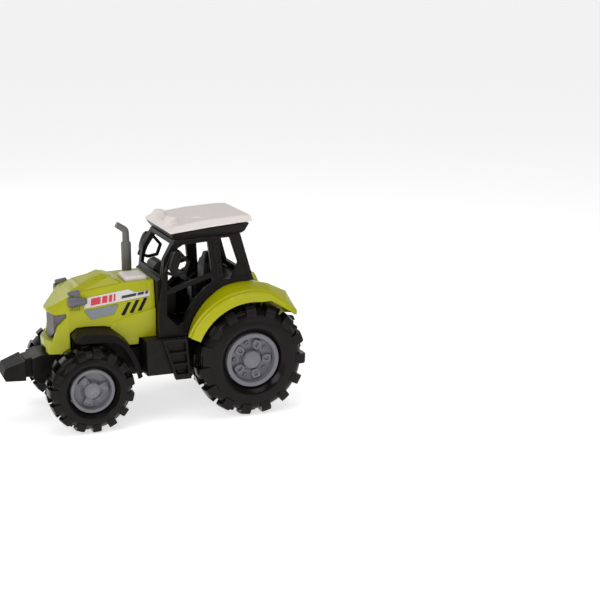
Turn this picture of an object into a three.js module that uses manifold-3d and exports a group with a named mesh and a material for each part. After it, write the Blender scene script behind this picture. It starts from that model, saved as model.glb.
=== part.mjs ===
// Toy farm tractor, about 1:24, in millimetres. +Z is up, the nose points along -Y and the tractor's
// left side is +X. The origin is on the ground under the middle of the bounding box.
import * as THREE from 'three';
import { ConvexGeometry } from 'three/addons/geometries/ConvexGeometry.js';
import { mergeVertices } from 'three/addons/utils/BufferGeometryUtils.js';
import Module from 'manifold-3d';

const wasm = await Module();
wasm.setup();

// ---- driving dimensions ----
const GAP = 0.3;
const HALF_LENGTH = 103;
const REAR_AXLE_Y = 55;
const WHEELBASE = 107;
const FRONT_AXLE_Y = REAR_AXLE_Y - WHEELBASE;
const LUG_COUNT = 15;
const REAR_WHEEL = {
  y: REAR_AXLE_Y, radius: 38, innerX: 24, outerX: 48, lipX: 45.6, rimRadius: 18.2, lipWidth: 2.6,
  dishDepth: 4.4, hubRadius: 6, hubDrop: 1.4, axleRadius: 2, lugWidth: 6.2, lugHeight: 3.8, lugTurn: -9.2,
};
const FRONT_WHEEL = {
  y: FRONT_AXLE_Y, radius: 28, innerX: 24, outerX: 45.5, lipX: 43.2, rimRadius: 14.3, lipWidth: 2.1,
  dishDepth: 4.6, hubRadius: 5.3, hubDrop: 1.2, axleRadius: 1.5, lugWidth: 5.2, lugHeight: 3, lugTurn: 3.9,
};
const BORE_CLEARANCE = 0.4;
const TUB_HALF_WIDTH = 15;
const WALL = 2;
const BUTTON_TRAVEL = 1.5;
const BEAD_RECESS = 4;
const SHOULDER_DROP = 1;
const CAB_HALF_WIDTH = 31.3;
const CAB_SIDE_THICKNESS = 3;
const CAB_LEAN = THREE.MathUtils.degToRad(3);
const CAB_FLOOR_Z = 55.3;
const FENDER_CLEAR_RADIUS = 39.6;
const FENDER_TOP_RADIUS = 50;
const FENDER_INNER_X = 19.6;
const MUDGUARD_INNER_X = 20.6;
const BUTTON = { x: 5.5, y: -14.6, halfX: 10, halfY: 7.8, rim: 92.4, skirtZ: 87, stemZ: 83.6 };

// ---- materials ----
function finish(color, roughness, metalness = 0) {
  return new THREE.MeshStandardMaterial({ color, roughness, metalness });
}
const GREEN = finish(0xa3ad1c, 0.3);
const BLACK = finish(0x1f1e20, 0.45);
const TYRE_BLACK = finish(0x1a191b, 0.4);
const GREY = finish(0x8b8a90, 0.4);
const DARK_GREY = finish(0x6a6970, 0.45);
const PALE_GREY = finish(0x8f9699, 0.35);
const WHITE = finish(0xe6ddda, 0.4);
const STEEL = finish(0xb8b8b8, 0.3, 1);
const BRASS = finish(0xb99a4a, 0.35, 1);
const BOARD_GREEN = finish(0x2f6b3a, 0.5);

// ---- helpers: closed geometries, booleans and placing ----
function toSolid(geometry) {
  const bare = geometry.index ? geometry.toNonIndexed() : geometry.clone();
  bare.deleteAttribute('normal');
  bare.deleteAttribute('uv');
  const merged = mergeVertices(bare, 1e-4);
  const mesh = new wasm.Mesh({
    numProp: 3,
    vertProperties: new Float32Array(merged.attributes.position.array),
    triVerts: new Uint32Array(merged.index.array),
  });
  return new wasm.Manifold(mesh);
}

function toGeometry(solid) {
  const mesh = solid.getMesh();
  const geometry = new THREE.BufferGeometry();
  geometry.setAttribute('position', new THREE.BufferAttribute(new Float32Array(mesh.vertProperties), 3));
  geometry.setIndex(new THREE.BufferAttribute(new Uint32Array(mesh.triVerts), 1));
  geometry.computeVertexNormals();
  return geometry;
}

function join(...geometries) {
  const solids = geometries.map(toSolid);
  return toGeometry(solids.reduce((whole, next) => whole.add(next)));
}

function cut(geometry, ...tools) {
  return toGeometry(tools.map(toSolid).reduce((whole, tool) => whole.subtract(tool), toSolid(geometry)));
}

function common(geometry, ...others) {
  return toGeometry(others.map(toSolid).reduce((whole, next) => whole.intersect(next), toSolid(geometry)));
}

function mirrored(geometry) {
  const copy = geometry.index ? geometry.toNonIndexed() : geometry.clone();
  copy.scale(-1, 1, 1);
  const position = copy.attributes.position;
  const a = new THREE.Vector3();
  const b = new THREE.Vector3();
  for (let i = 0; i < position.count; i += 3) {
    a.fromBufferAttribute(position, i + 1);
    b.fromBufferAttribute(position, i + 2);
    position.setXYZ(i + 1, b.x, b.y, b.z);
    position.setXYZ(i + 2, a.x, a.y, a.z);
  }
  copy.computeVertexNormals();
  return copy;
}

function box(x0, x1, y0, y1, z0, z1) {
  const geometry = new THREE.BoxGeometry(x1 - x0, y1 - y0, z1 - z0);
  return geometry.translate((x0 + x1) / 2, (y0 + y1) / 2, (z0 + z1) / 2);
}

function anticlockwise(outline) {
  const points = outline.map(([u, v]) => new THREE.Vector2(u, v));
  return THREE.ShapeUtils.isClockWise(points) ? points.reverse() : points;
}

function extrude(points, depth, holes = []) {
  const shape = new THREE.Shape(anticlockwise(points));
  shape.holes = holes.map((hole) => new THREE.Path(anticlockwise(hole)));
  return new THREE.ExtrudeGeometry(shape, { depth, bevelEnabled: false });
}

// outline points are (y, z); the solid runs from x0 to x1
function sidePrism(points, x0, x1, holes = []) {
  const geometry = extrude(points, x1 - x0, holes);
  const turn = new THREE.Matrix4().set(0, 0, 1, x0, 1, 0, 0, 0, 0, 1, 0, 0, 0, 0, 0, 1);
  return geometry.applyMatrix4(turn);
}

// outline points are (x, z); the solid runs from y0 to y1
function frontPrism(points, y0, y1, holes = []) {
  const geometry = extrude(points, y1 - y0, holes);
  const turn = new THREE.Matrix4().set(1, 0, 0, 0, 0, 0, -1, y1, 0, 1, 0, 0, 0, 0, 0, 1);
  return geometry.applyMatrix4(turn);
}

// outline points are (x, y); the solid runs from z0 to z1
function planPrism(points, z0, z1, holes = []) {
  return extrude(points, z1 - z0, holes).translate(0, 0, z0);
}

function hull(points) {
  return new ConvexGeometry(points.map(([x, y, z]) => new THREE.Vector3(x, y, z)));
}

function bothSides(points) {
  return points.flatMap(([x, y, z]) => [[x, y, z], [-x, y, z]]);
}

// profile points are (radius, x), anticlockwise; turned about the X axis
function turned(profile, segments) {
  const points = profile.map(([radius, x]) => new THREE.Vector2(radius, x));
  return new THREE.LatheGeometry(points, segments).rotateZ(-Math.PI / 2);
}

function rodX(radius, x0, x1, y = 0, z = 0, segments = 16) {
  const geometry = new THREE.CylinderGeometry(radius, radius, x1 - x0, segments);
  return geometry.rotateZ(-Math.PI / 2).translate((x0 + x1) / 2, y, z);
}

function rodZ(radius, x, y, z0, z1, segments = 16) {
  const geometry = new THREE.CylinderGeometry(radius, radius, z1 - z0, segments);
  return geometry.rotateX(Math.PI / 2).translate(x, y, (z0 + z1) / 2);
}

// an outline with every edge moved inwards by the same amount
function shrunk(outline, amount) {
  const shape = outline.map(([u, v]) => new THREE.Vector2(u, v));
  const side = THREE.ShapeUtils.isClockWise(shape) ? -1 : 1;
  return shape.map((point, k) => {
    const before = point.clone().sub(shape[(k + shape.length - 1) % shape.length]).normalize();
    const after = shape[(k + 1) % shape.length].clone().sub(point).normalize();
    const normal = new THREE.Vector2(-before.y - after.y, before.x + after.x).normalize();
    normal.multiplyScalar(side);
    const edgeNormal = new THREE.Vector2(-before.y, before.x).multiplyScalar(side);
    const reach = amount / Math.max(0.3, normal.dot(edgeNormal));
    return [point.x + normal.x * reach, point.y + normal.y * reach];
  });
}

// joins rows of corresponding points into one solid; flat is the same outline drawn in a plane, which
// says how the two ends are closed
function loft(flat, givenRows) {
  const shape = flat.map(([u, v]) => new THREE.Vector2(u, v));
  const reversed = THREE.ShapeUtils.isClockWise(shape);
  const rows = givenRows.map((row) => (reversed ? [...row].reverse() : row));
  const outline = reversed ? shape.reverse() : shape;
  const count = outline.length;
  const points = rows.flat();
  const faces = [];
  for (let row = 0; row < rows.length - 1; row += 1) {
    for (let k = 0; k < count; k += 1) {
      const a = row * count + k;
      const b = row * count + ((k + 1) % count);
      faces.push([a, b, b + count], [a, b + count, a + count]);
    }
  }
  const cap = THREE.ShapeUtils.triangulateShape(outline, []);
  const last = (rows.length - 1) * count;
  faces.push(...cap.map(([a, b, c]) => [a, c, b]));
  faces.push(...cap.map((face) => face.map((k) => k + last)));
  const corner = (k) => new THREE.Vector3(...points[k]);
  const volume = faces.reduce((sum, [a, b, c]) => sum + corner(a).dot(corner(b).cross(corner(c))), 0);
  const outward = volume > 0 ? faces : faces.map(([a, b, c]) => [a, c, b]);
  const geometry = new THREE.BufferGeometry();
  geometry.setAttribute('position', new THREE.Float32BufferAttribute(points.flat(), 3));
  geometry.setIndex(outward.flat());
  geometry.computeVertexNormals();
  return geometry;
}

const tractor = new THREE.Group();

function addPart(name, geometry, material, place = [0, 0, 0]) {
  const mesh = new THREE.Mesh(geometry, material);
  mesh.name = name;
  mesh.position.set(...place);
  tractor.add(mesh);
}

function addPair(name, leftGeometry, material, place = [0, 0, 0]) {
  addPart(`${name}_left`, leftGeometry, material, place);
  addPart(`${name}_right`, mirrored(leftGeometry), material, [-place[0], place[1], place[2]]);
}

// ---- wheels: tyre, rim and steel axle ----
// one side's ring of lugs as an outline about the axle, sized so that its lowest corner is at the radius
function lugOutline({ radius, lugHeight, lugWidth }, phase, shoulderDrop) {
  const pitch = 2 * Math.PI / LUG_COUNT;
  const halfAngle = lugWidth / 2 / radius;
  const corners = Array.from({ length: LUG_COUNT }, (_, n) => {
    const middle = phase + n * pitch;
    return [middle - halfAngle, middle + halfAngle];
  });
  const tip = radius / Math.max(...corners.flat().map(Math.cos)) - shoulderDrop;
  const root = radius - lugHeight - 1.2;
  return corners.flatMap(([start, end]) => {
    const spread = halfAngle / 4;
    return [[root, start - spread], [tip, start], [tip, end], [root, end + spread]].map(([r, angle]) => (
      [r * Math.sin(angle), -r * Math.cos(angle)]));
  });
}

function tyreGeometry(wheel) {
  const { radius, innerX, outerX, rimRadius, lugHeight } = wheel;
  const hole = rimRadius + GAP;
  const body = radius - lugHeight;
  const middle = (innerX + outerX) / 2;
  const half = (outerX - innerX) / 2;
  const ringRadius = rimRadius + 0.35 * (body - rimRadius);
  const wall = [[hole, half - BEAD_RECESS], [ringRadius, half], [body - 2.4, half - 2.2], [body, half - 5]];
  const innerSide = wall.map(([r, x]) => [r, middle - x]);
  const outerSide = wall.map(([r, x]) => [r, middle + x]).reverse();
  const section = [...innerSide, ...outerSide];
  const carcass = turned([...section, section[0]], 24);
  const phase = THREE.MathUtils.degToRad(wheel.lugTurn);
  const shoulder = half - 1.2;
  const ringOfLugs = (turn, side) => {
    const rows = [[0.4, 0], [shoulder, SHOULDER_DROP]].map(([x, drop]) => (
      lugOutline(wheel, turn, drop).map(([y, z]) => [middle + side * x, y, z])));
    return cut(loft(lugOutline(wheel, turn, 0), rows), rodX(hole + 1, innerX - 1, outerX + 1, 0, 0, 24));
  };
  return join(carcass, ringOfLugs(phase, 1), ringOfLugs(phase + Math.PI / LUG_COUNT, -1));
}

function rimGeometry(wheel) {
  const { innerX, lipX, rimRadius, lipWidth, dishDepth, hubRadius, hubDrop, axleRadius } = wheel;
  const dish = lipX - dishDepth;
  const bore = axleRadius + 0.15;
  const axleEnd = dish - 1.5;
  const barrel = [
    [0, lipX - hubDrop], [hubRadius, lipX - hubDrop], [hubRadius, dish],
    [rimRadius - lipWidth - 0.8, dish], [rimRadius - lipWidth, lipX], [rimRadius, lipX],
    [rimRadius, innerX + 1.8], [rimRadius - 1.8, innerX + 1.8],
    [rimRadius - 2.4, dish - WALL], [hubRadius - 0.6, dish - WALL], [hubRadius - 0.6, innerX - 0.3],
    [bore, innerX - 0.3], [bore, axleEnd], [0, axleEnd],
  ];
  return turned(barrel.reverse(), 24);
}

// a raised pad on the dish, drawn upright at twelve o'clock and then turned
function padOnDish(outline, wheel, angle, thickness) {
  const dish = wheel.lipX - wheel.dishDepth;
  return sidePrism(outline, dish - 0.5, dish + thickness).rotateX(angle);
}

function rearRimGeometry() {
  const pads = [];
  for (let k = 0; k < 5; k += 1) {
    const turn = k * 2 * Math.PI / 5;
    const pad = [[-1.3, 7], [1.3, 7], [3.2, 10.2], [2.6, 13.4], [-2.6, 13.4], [-3.2, 10.2]];
    pads.push(padOnDish(pad, REAR_WHEEL, turn + THREE.MathUtils.degToRad(-92), 2));
    const stud = [[-0.7, 10], [0.7, 10], [1.3, 11.2], [0.7, 12.4], [-0.7, 12.4], [-1.3, 11.2]];
    pads.push(padOnDish(stud, REAR_WHEEL, turn + THREE.MathUtils.degToRad(-56), 1.4));
  }
  return join(rimGeometry(REAR_WHEEL), ...pads);
}

function frontRimGeometry() {
  const spokes = [];
  for (let k = 0; k < 3; k += 1) {
    const spoke = [[-2.6, 4.6], [2.6, 4.6], [4.3, 9.8], [3.2, 11], [-3.2, 11], [-4.3, 9.8]];
    const turn = k * 2 * Math.PI / 3 + THREE.MathUtils.degToRad(-66);
    spokes.push(padOnDish(spoke, FRONT_WHEEL, turn, 2.6));
  }
  return join(rimGeometry(FRONT_WHEEL), ...spokes);
}

function addWheelSet(name, wheel, rim) {
  const centre = [0, wheel.y, wheel.radius];
  const axleHalf = wheel.lipX - wheel.dishDepth - 1.5 - GAP;
  addPart(`${name}_axle`, rodX(wheel.axleRadius, -axleHalf, axleHalf), STEEL, centre);
  addPair(`${name}_rim`, rim, GREY, centre);
  addPair(`${name}_tyre`, tyreGeometry(wheel), TYRE_BLACK, centre);
}

addWheelSet('rear', REAR_WHEEL, rearRimGeometry());
addWheelSet('front', FRONT_WHEEL, frontRimGeometry());

// ---- chassis tub, front bracket, weight and hitch ----
function chassisGeometry() {
  const outer = [[-66, 46], [-66, 24], [-61, 20], [-43, 20], [-35, 28], [72, 28], [84, 33], [90, 40],
    [90, 54], [-2, 54], [-2, 46]];
  const inner = [[-64, 60], [-64, 26], [-60, 22], [-44, 22], [-36, 30], [66, 30], [66, 60]];
  const underDeck = [[68, 20], [68, 51.6], [87.8, 51.6], [87.8, 41], [80, 33.4], [80, 20]];
  const bosses = [[FRONT_WHEEL, 5], [REAR_WHEEL, 7]].map(([wheel, radius]) => (
    rodX(radius, -21, 21, wheel.y, wheel.radius)));
  const tub = join(sidePrism(outer, -TUB_HALF_WIDTH, TUB_HALF_WIDTH), ...bosses);
  const pockets = [inner, underDeck].map((outline) => (
    sidePrism(outline, WALL - TUB_HALF_WIDTH, TUB_HALF_WIDTH - WALL)));
  const bores = [FRONT_WHEEL, REAR_WHEEL].map((wheel) => (
    rodX(wheel.axleRadius + BORE_CLEARANCE, -22, 22, wheel.y, wheel.radius)));
  const batteryHatch = box(-9, 9, -2, 26, 27, 31);
  return cut(tub, ...pockets, ...bores, batteryHatch);
}

function frontBracketGeometry() {
  const side = [[-66.3, 46.3], [-78, 46.3], [-83.5, 44.5], [-88, 43.5], [-88, 31.5], [-84, 31.5], [-80, 27],
    [-66.3, 27]];
  const neckTrim = [0, 1].map((k) => box(k ? 8.5 : -20, k ? 20 : -8.5, -90, -84, 20, 50));
  return cut(sidePrism(side, -12.5, 12.5), ...neckTrim);
}

const GROOVE_SPACING = 2.9;
const GROOVE_WIDTH = 0.7;

function frontWeightGeometry() {
  const block = hull(bothSides([
    [12.5, -88.3, 30.2], [12.5, -88.3, 43.6], [12, -101.4, 30.8], [10.5, -100.8, 39.2],
    [11, -HALF_LENGTH, 34.5],
  ]));
  const groove = [[-88.9, 42.2], [-99.8, 38.2], [-101.9, 34.6], [-101, 33], [-106, 33], [-106, 50],
    [-88.9, 50]];
  const slots = [];
  for (let k = -3; k <= 3; k += 1) {
    const x = k * GROOVE_SPACING;
    slots.push(sidePrism(groove, x - GROOVE_WIDTH / 2, x + GROOVE_WIDTH / 2));
  }
  return cut(block, ...slots);
}

function hitchGeometry() {
  const arm = [[90.3, 43], [90.3, 50], [97, 50], [97, 47.2], [102, 47.2], [HALF_LENGTH, 46.2],
    [HALF_LENGTH, 43]];
  return join(sidePrism(arm, -4, 4), rodZ(2, 0, 99.6, 46, 51.4, 12),
    hull(bothSides([[2.4, 96.6, 51.3], [2.4, 102, 50.6], [1.6, 97, 54.2], [1.6, 101, 53.6]])));
}

addPart('chassis', chassisGeometry(), BLACK);
addPart('front_bracket', frontBracketGeometry(), BLACK);
addPart('front_weight', frontWeightGeometry(), BLACK);
addPart('rear_hitch', hitchGeometry(), BLACK);

// ---- hood ----
const SIDE_SLOPE = 0.127;
const SIDE_TOP = { x: 19.5, z: 92 };
const SIDE_FOLD_Z = 76;

// the flat upper side leans out towards its foot, the lower side leans out less
function sideX(z) {
  const upper = SIDE_TOP.x + (SIDE_TOP.z - Math.max(z, SIDE_FOLD_Z)) * SIDE_SLOPE;
  return upper + (SIDE_FOLD_Z - Math.min(z, SIDE_FOLD_Z)) * 0.07;
}

// outline points are (y, z); the solid follows the flat upper side, from depth below it to lift above it
function onHoodSide(outline, depth, lift) {
  const lean = new THREE.Matrix4().set(1, 0, -SIDE_SLOPE, SIDE_TOP.x + SIDE_TOP.z * SIDE_SLOPE,
    0, 1, 0, 0, 0, 0, 1, 0, 0, 0, 0, 1);
  return sidePrism(outline, -depth, lift).applyMatrix4(lean);
}

function hoodHull(inset) {
  const flank = [[-53.3, 87.6], [-25, 91.3], [-4.3, 92], [-52, 76], [-4.3, 76], [-46, 58], [-4.3, 49],
    [-20, 49]];
  const chin = [[20.2, -61, 47.5], [13.6, -73.2, 46.6], [6, -74.5, 47], [20.2, -61, 62], [13.6, -71, 55.5],
    [5, -75, 55]];
  const nose = [[14.5, -69, 72.6], [20.2, -61.4, 74.6], [5, -72.3, 75.2], [9, -57.2, 87.6], [18.6, -60, 85]];
  const all = [...flank.map(([y, z]) => [sideX(z), y, z]), ...chin, ...nose];
  return hull(bothSides(all.map(([x, y, z]) => [x - inset, y + inset * 0.9, z - inset])));
}

function hoodRaisedPanels() {
  const wide = hull(bothSides([[12, -52, 90.4], [12, -32, 94.4], [18.4, -53.3, 87.4], [17.8, -26, 91.1],
    [14.5, -24, 91.3], [10, -57.2, 87.5], [12, -34, 86]]));
  const narrow = hull(bothSides([[7.5, -57.4, 88], [7.2, -36.4, 96], [7.6, -57, 87], [7.6, -35.4, 94],
    [6.6, -29.5, 94.2], [6.6, -29.5, 92]]));
  return [wide, narrow];
}

const ARCH = [[-60.5, 61], [-56.2, 64.6], [-48, 65.1], [-38.4, 64.4], [-33.8, 63.3], [-28.5, 58.8],
  [-23, 51.2]];
const LABEL = [[-51.7, 76.6], [-48.5, 83.9], [-21.3, 87.3], [-17.5, 85], [-7.3, 85.4], [-7.1, 81.6]];
const SIDE_PANEL = [[-51.4, 75.6], [-46.8, 69.4], [-31.8, 71.6], [-28.1, 78.3]];
const GRILLE_SIDE = [[-80, 75.2], [-68.6, 72.4], [-61, 74.3], [-61.2, 72.6], [-67.5, 65], [-70.2, 55.4],
  [-80, 55.4]];

const GRILLE_THICKNESS = 1.2;
const STACK = { x: -15.5, y: -13.2, seatRadius: 2.9 };

// the grille's face seen from above, moved back by depth
function grilleLine(depth) {
  const half = [[19.4 - depth, -60.2 + depth * 0.4], [12.2 - depth * 0.4, -69.2 + depth], [0, -71.2 + depth]];
  const other = half.slice(0, 2).map(([x, y]) => [-x, y]);
  return [...other, ...half.reverse()];
}

function hoodGeometry() {
  const outer = join(hoodHull(0), ...hoodRaisedPanels());
  const posts = [[-10.5, -28], [10.5, -28], [-10.5, -8.2]].map(([x, y]) => rodZ(1.2, x, y, 79.9, 95, 6));
  const inner = cut(common(hoodHull(WALL), box(-30, 30, -80, -6, 40, 100)), ...posts);
  const rearOpening = box(-19, 19, -7, 0, 40, 88);
  const bellyTrim = box(-30, 30, -61.2, -23, 40, 51.2);
  const archOpening = sidePrism([...ARCH, [-23, 40], [-60.5, 40]], -30, 30);
  const tankNotch = sidePrism([[-16.4, 40], [-16.4, 50.6], [-15.6, 55.8], [0, 55.9], [0, 40]], -30, 30);
  const rearHem = sidePrism([[-23.2, 40], [-23.2, 50.6], [-16.2, 50.6], [-16.2, 40]], -30, 30);
  const chinNotch = box(-7.5, 7.5, -80, -62, 40, 50);
  const pockets = [LABEL, SIDE_PANEL].flatMap((outline) => {
    const pocket = onHoodSide(outline, 0.6, 2);
    return [pocket, mirrored(pocket)];
  });
  const aheadOfGrille = planPrism([[-30, -80], ...grilleLine(GRILLE_THICKNESS + GAP), [30, -80]], 50, 80);
  const grillePocket = common(aheadOfGrille, sidePrism(GRILLE_SIDE, -30, 30));
  const slots = [-21.3, -15.7, -10.2].flatMap((y, k) => {
    const top = 78.4 + k;
    const slot = [[y - 0.9, top], [y + 0.9, top], [y - 3.7, top - 7.6], [y - 5.5, top - 7.6]];
    return [sidePrism(slot, 17, 30), sidePrism(slot, -30, -17)];
  });
  const { x, y, halfX, halfY } = BUTTON;
  const buttonHole = box(x - halfX - GAP, x + halfX + GAP, y - halfY - GAP, y + halfY + GAP, 80, 100);
  const exhaustSeat = rodZ(STACK.seatRadius, STACK.x, STACK.y, 80, 100);
  return cut(outer, inner, rearOpening, bellyTrim, archOpening, tankNotch, rearHem, chinNotch, ...pockets,
    grillePocket, ...slots, buttonHole, exhaustSeat);
}

// a thin piece lying in its pocket in the hood's side
function inlay(outline) {
  return onHoodSide(shrunk(outline, 0.2), 0.35, 0.1);
}

function grilleGeometry() {
  const plate = planPrism([...grilleLine(0), ...grilleLine(GRILLE_THICKNESS).reverse()], 50, 80);
  return common(plate, sidePrism(shrunk(GRILLE_SIDE, 0.35), -30, 30));
}

function headlightGeometry() {
  const lamp = new THREE.CylinderGeometry(1.7, 3, 11.6, 12).translate(22.4, -55.6, 82.4);
  const neck = box(19, 22.6, -58.6, -54, 83, 88);
  const upper = box(16.4, 21.4, -60.6, -53.4, 85.6, 88.8);
  return cut(join(lamp, neck, upper), hoodHull(-GAP), ...hoodRaisedPanels());
}

addPart('hood', hoodGeometry(), GREEN);
addPart('nose_grille', grilleGeometry(), DARK_GREY);
addPair('side_label', inlay(LABEL), WHITE);
addPair('side_panel', inlay(SIDE_PANEL), PALE_GREY);
addPair('headlight', headlightGeometry(), GREY);

// ---- exhaust stack ----
function exhaustGeometry() {
  const profile = [[0, 88], [2.6, 88], [2.6, 92.3], [3.4, 92.3], [3.4, 110.6], [2.3, 111.8], [2.3, 119.4],
    [0, 119.4]].map(([r, z]) => new THREE.Vector2(r, z));
  const pipe = new THREE.LatheGeometry(profile, 14).rotateX(Math.PI / 2);
  const elbow = new THREE.CylinderGeometry(2, 2.3, 9, 14).rotateX(Math.PI / 2 + 0.98);
  elbow.translate(0, -2.6, 120.9);
  return join(pipe, elbow).translate(STACK.x, STACK.y, 0);
}
addPart('exhaust_stack', exhaustGeometry(), GREY);

// ---- front mudguards: a flat-topped arch with a long tail behind the wheel ----
const MUDGUARD = [
  { inner: [-60.2, 60.7], edge: [-60.6, 60.2], hem: [-60.6, 58.6] },
  { inner: [-56.1, 64.3], edge: [-54, 62.8], hem: [-56, 57.4] },
  { inner: [-48, 64.8], edge: [-46, 62.2], hem: [-45, 57.2] },
  { inner: [-38.4, 64.1], edge: [-36.4, 61.2], hem: [-36.3, 56.7] },
  { inner: [-33.9, 63], edge: [-31.6, 59.2], hem: [-32.2, 55.1] },
  { inner: [-28.6, 58.6], edge: [-27.2, 55.4], hem: [-28.8, 51.9] },
  { inner: [-23.2, 51], edge: [-22.6, 48.2], hem: [-25.4, 46.2] },
  { inner: [-19.4, 41], edge: [-19, 40.4], hem: [-22.1, 38.7] },
  { inner: [-16.9, 31.2], edge: [-16.9, 31.2], hem: [-20.2, 30.6] },
];

function mudguardGeometry() {
  const towardsAxle = ([y, z], depth) => {
    const dy = FRONT_AXLE_Y - y;
    const dz = FRONT_WHEEL.radius - z;
    const reach = depth / Math.hypot(dy, dz);
    return [y + dy * reach, z + dz * reach];
  };
  const rows = MUDGUARD.map(({ inner, edge, hem }) => [
    [MUDGUARD_INNER_X, ...inner], [34, ...edge], [36, ...hem], [34.6, ...hem],
    [32.8, ...towardsAxle(edge, 1.8)], [MUDGUARD_INNER_X, ...towardsAxle(inner, 1.8)],
  ]);
  const section = [[0, 10], [13, 10], [15, 0], [14, 0], [12, 5], [0, 5]];
  const arch = loft(section, rows);
  const inside = sidePrism([[-59.6, 59.6], [-55.6, 63], [-48, 63.4], [-38.4, 62.8], [-34, 61.6], [-29, 57.4],
    [-24, 50], [-24, 42], [-59.6, 42]], MUDGUARD_INNER_X, MUDGUARD_INNER_X + 1.4);
  return join(arch, inside);
}
addPair('front_mudguard', mudguardGeometry(), BLACK);

// ---- side tanks and ladder steps ----
const TANK = { front: -13.9, rear: 14.4, bottom: 31, top: 55 };

function tankGeometry() {
  return box(TUB_HALF_WIDTH + GAP, 34, TANK.front, TANK.rear, TANK.bottom, TANK.top);
}

function ladderGeometry() {
  const outside = [[-4, 55], [12.8, 55], [15.2, 27.4], [4.6, 27.4]];
  const railAt = (z) => [-4 + (55 - z) * 0.312 + 1.8, 12.8 + (55 - z) * 0.087 - 1.8];
  const treads = [52.2, 44.6, 37, 29.6];
  const holes = treads.slice(0, 3).map((top, k) => {
    const low = treads[k + 1] + 1.6;
    return [[railAt(top)[0], top], [railAt(low)[0], low], [railAt(low)[1], low], [railAt(top)[1], top]];
  });
  return sidePrism(outside, 34 + GAP, 37, holes);
}
addPair('side_tank', tankGeometry(), BLACK);
addPair('ladder', ladderGeometry(), BLACK);

// ---- rear fenders ----
const FENDER_ARC = { from: 66, to: -8, steps: 12 };
const FENDER_DROOP = 6.4;
const FENDER_KNEES = [
  { crown: [70.4, 86], ridge: [68, 82.8], hem: [67.6, 77.4] },
  { crown: [83.6, 79.6], ridge: [79, 75.4], hem: [77.2, 71.6] },
  { crown: [90.6, 65.4], ridge: [87.2, 67.6], hem: [86.1, 66.2] },
];

function fenderStations() {
  const stations = [];
  for (let k = 0; k <= FENDER_ARC.steps; k += 1) {
    const degrees = FENDER_ARC.from + (FENDER_ARC.to - FENDER_ARC.from) * (k / FENDER_ARC.steps);
    const angle = THREE.MathUtils.degToRad(degrees);
    const at = (radius) => [
      REAR_AXLE_Y - radius * Math.sin(angle), REAR_WHEEL.radius + radius * Math.cos(angle),
    ];
    const droop = FENDER_DROOP * Math.max(0, (degrees - 18) / (FENDER_ARC.from - 18));
    stations.push({ crown: at(FENDER_TOP_RADIUS - droop), ridge: at(46.6), hem: at(FENDER_CLEAR_RADIUS) });
  }
  return [...stations, ...FENDER_KNEES];
}

function fenderGeometry() {
  const stations = fenderStations();
  const inward = ([y, z], depth) => {
    const dy = REAR_AXLE_Y - y;
    const dz = REAR_WHEEL.radius - z;
    const reach = depth / Math.hypot(dy, dz);
    return [y + dy * reach, z + dz * reach];
  };
  const fall = ([y]) => 3.6 * THREE.MathUtils.clamp((y - 60.5) / 9, 0, 1);
  const rows = stations.map(({ crown, ridge, hem }) => [
    [FENDER_INNER_X, ...inward(crown, fall(crown))], [31, ...crown],
    [42.6, ...inward(ridge, -0.6)], [43.2, ...inward(ridge, 0.3)],
    [45.2, ...inward(ridge, 1.2)], [46.5, ...hem], [45, ...hem], [43, ...inward(ridge, 2.4)],
    [31, ...inward(crown, 2.2)], [FENDER_INNER_X, ...inward(crown, fall(crown) + 2.2)],
  ]);
  const section = [[0, 10], [11, 10], [22, 8], [23, 7.5], [25, 6], [26, 0], [25, 0], [23, 5], [11, 8],
    [0, 8]];
  const strip = loft(section, rows);
  const top = stations.map(({ crown }) => inward(crown, fall(crown) + 1));
  const wall = sidePrism([...top, [84.4, 61], [80, 56], [18, 56]], FENDER_INNER_X, FENDER_INNER_X + 1.4);
  return join(strip, wall);
}
addPair('rear_fender', fenderGeometry(), GREEN);

// ---- cab: two leaning side frames, front and rear frames, floor, ceiling and roof ----
const CAB_TOP = { front: [8, 118.6], rear: [52.8, 120.2] };

function onCabSide(outline, depth, lift, holes = []) {
  const slope = Math.tan(CAB_LEAN);
  const lean = new THREE.Matrix4().set(1, 0, -slope, CAB_HALF_WIDTH + CAB_FLOOR_Z * slope,
    0, 1, 0, 0, 0, 0, 1, 0, 0, 0, 0, 1);
  return sidePrism(outline, -depth, lift, holes).applyMatrix4(lean);
}

// the fender crown seen from the side, pushed outwards, from the front foot to behind the cab
function crownLine(clear, lastY) {
  const line = fenderStations().map(({ crown: [y, z] }) => {
    const dy = y - REAR_AXLE_Y;
    const dz = z - REAR_WHEEL.radius;
    const reach = clear / Math.hypot(dy, dz);
    return [y + dy * reach, z + dz * reach];
  });
  return line.filter(([y]) => y < lastY);
}

const DOOR_OPENING = [[2, 97], [1.2, 69.5], [8.2, 62.2], [12.4, 63.6], [16.4, 71], [21, 79.6], [27.6, 86],
  [33.4, 88.9], [30.4, 116.3], [13.4, 115.2], [10.2, 113.4], [4, 104]];
const QUARTER_WINDOW = [[40.2, 90.6], [38.4, 118], [45.6, 118.2], [51, 101], [46, 90.6]];
const DOOR_BAR = [[0.6, 82.8], [0.6, 85.8], [34, 96], [34, 93]];

function cabSideGeometry() {
  const outline = [[-4.9, 55.3], [-3.9, 75], [-1.4, 92], [0.4, 106.5], CAB_TOP.front, CAB_TOP.rear,
    [61.4, 88.6], ...crownLine(0.4, 61).reverse(), [12.4, 55.3]];
  const frame = onCabSide(outline, CAB_SIDE_THICKNESS, 0, [DOOR_OPENING, QUARTER_WINDOW]);
  const bar = onCabSide(DOOR_BAR, CAB_SIDE_THICKNESS - 0.6, 0);
  return join(frame, bar);
}

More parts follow.
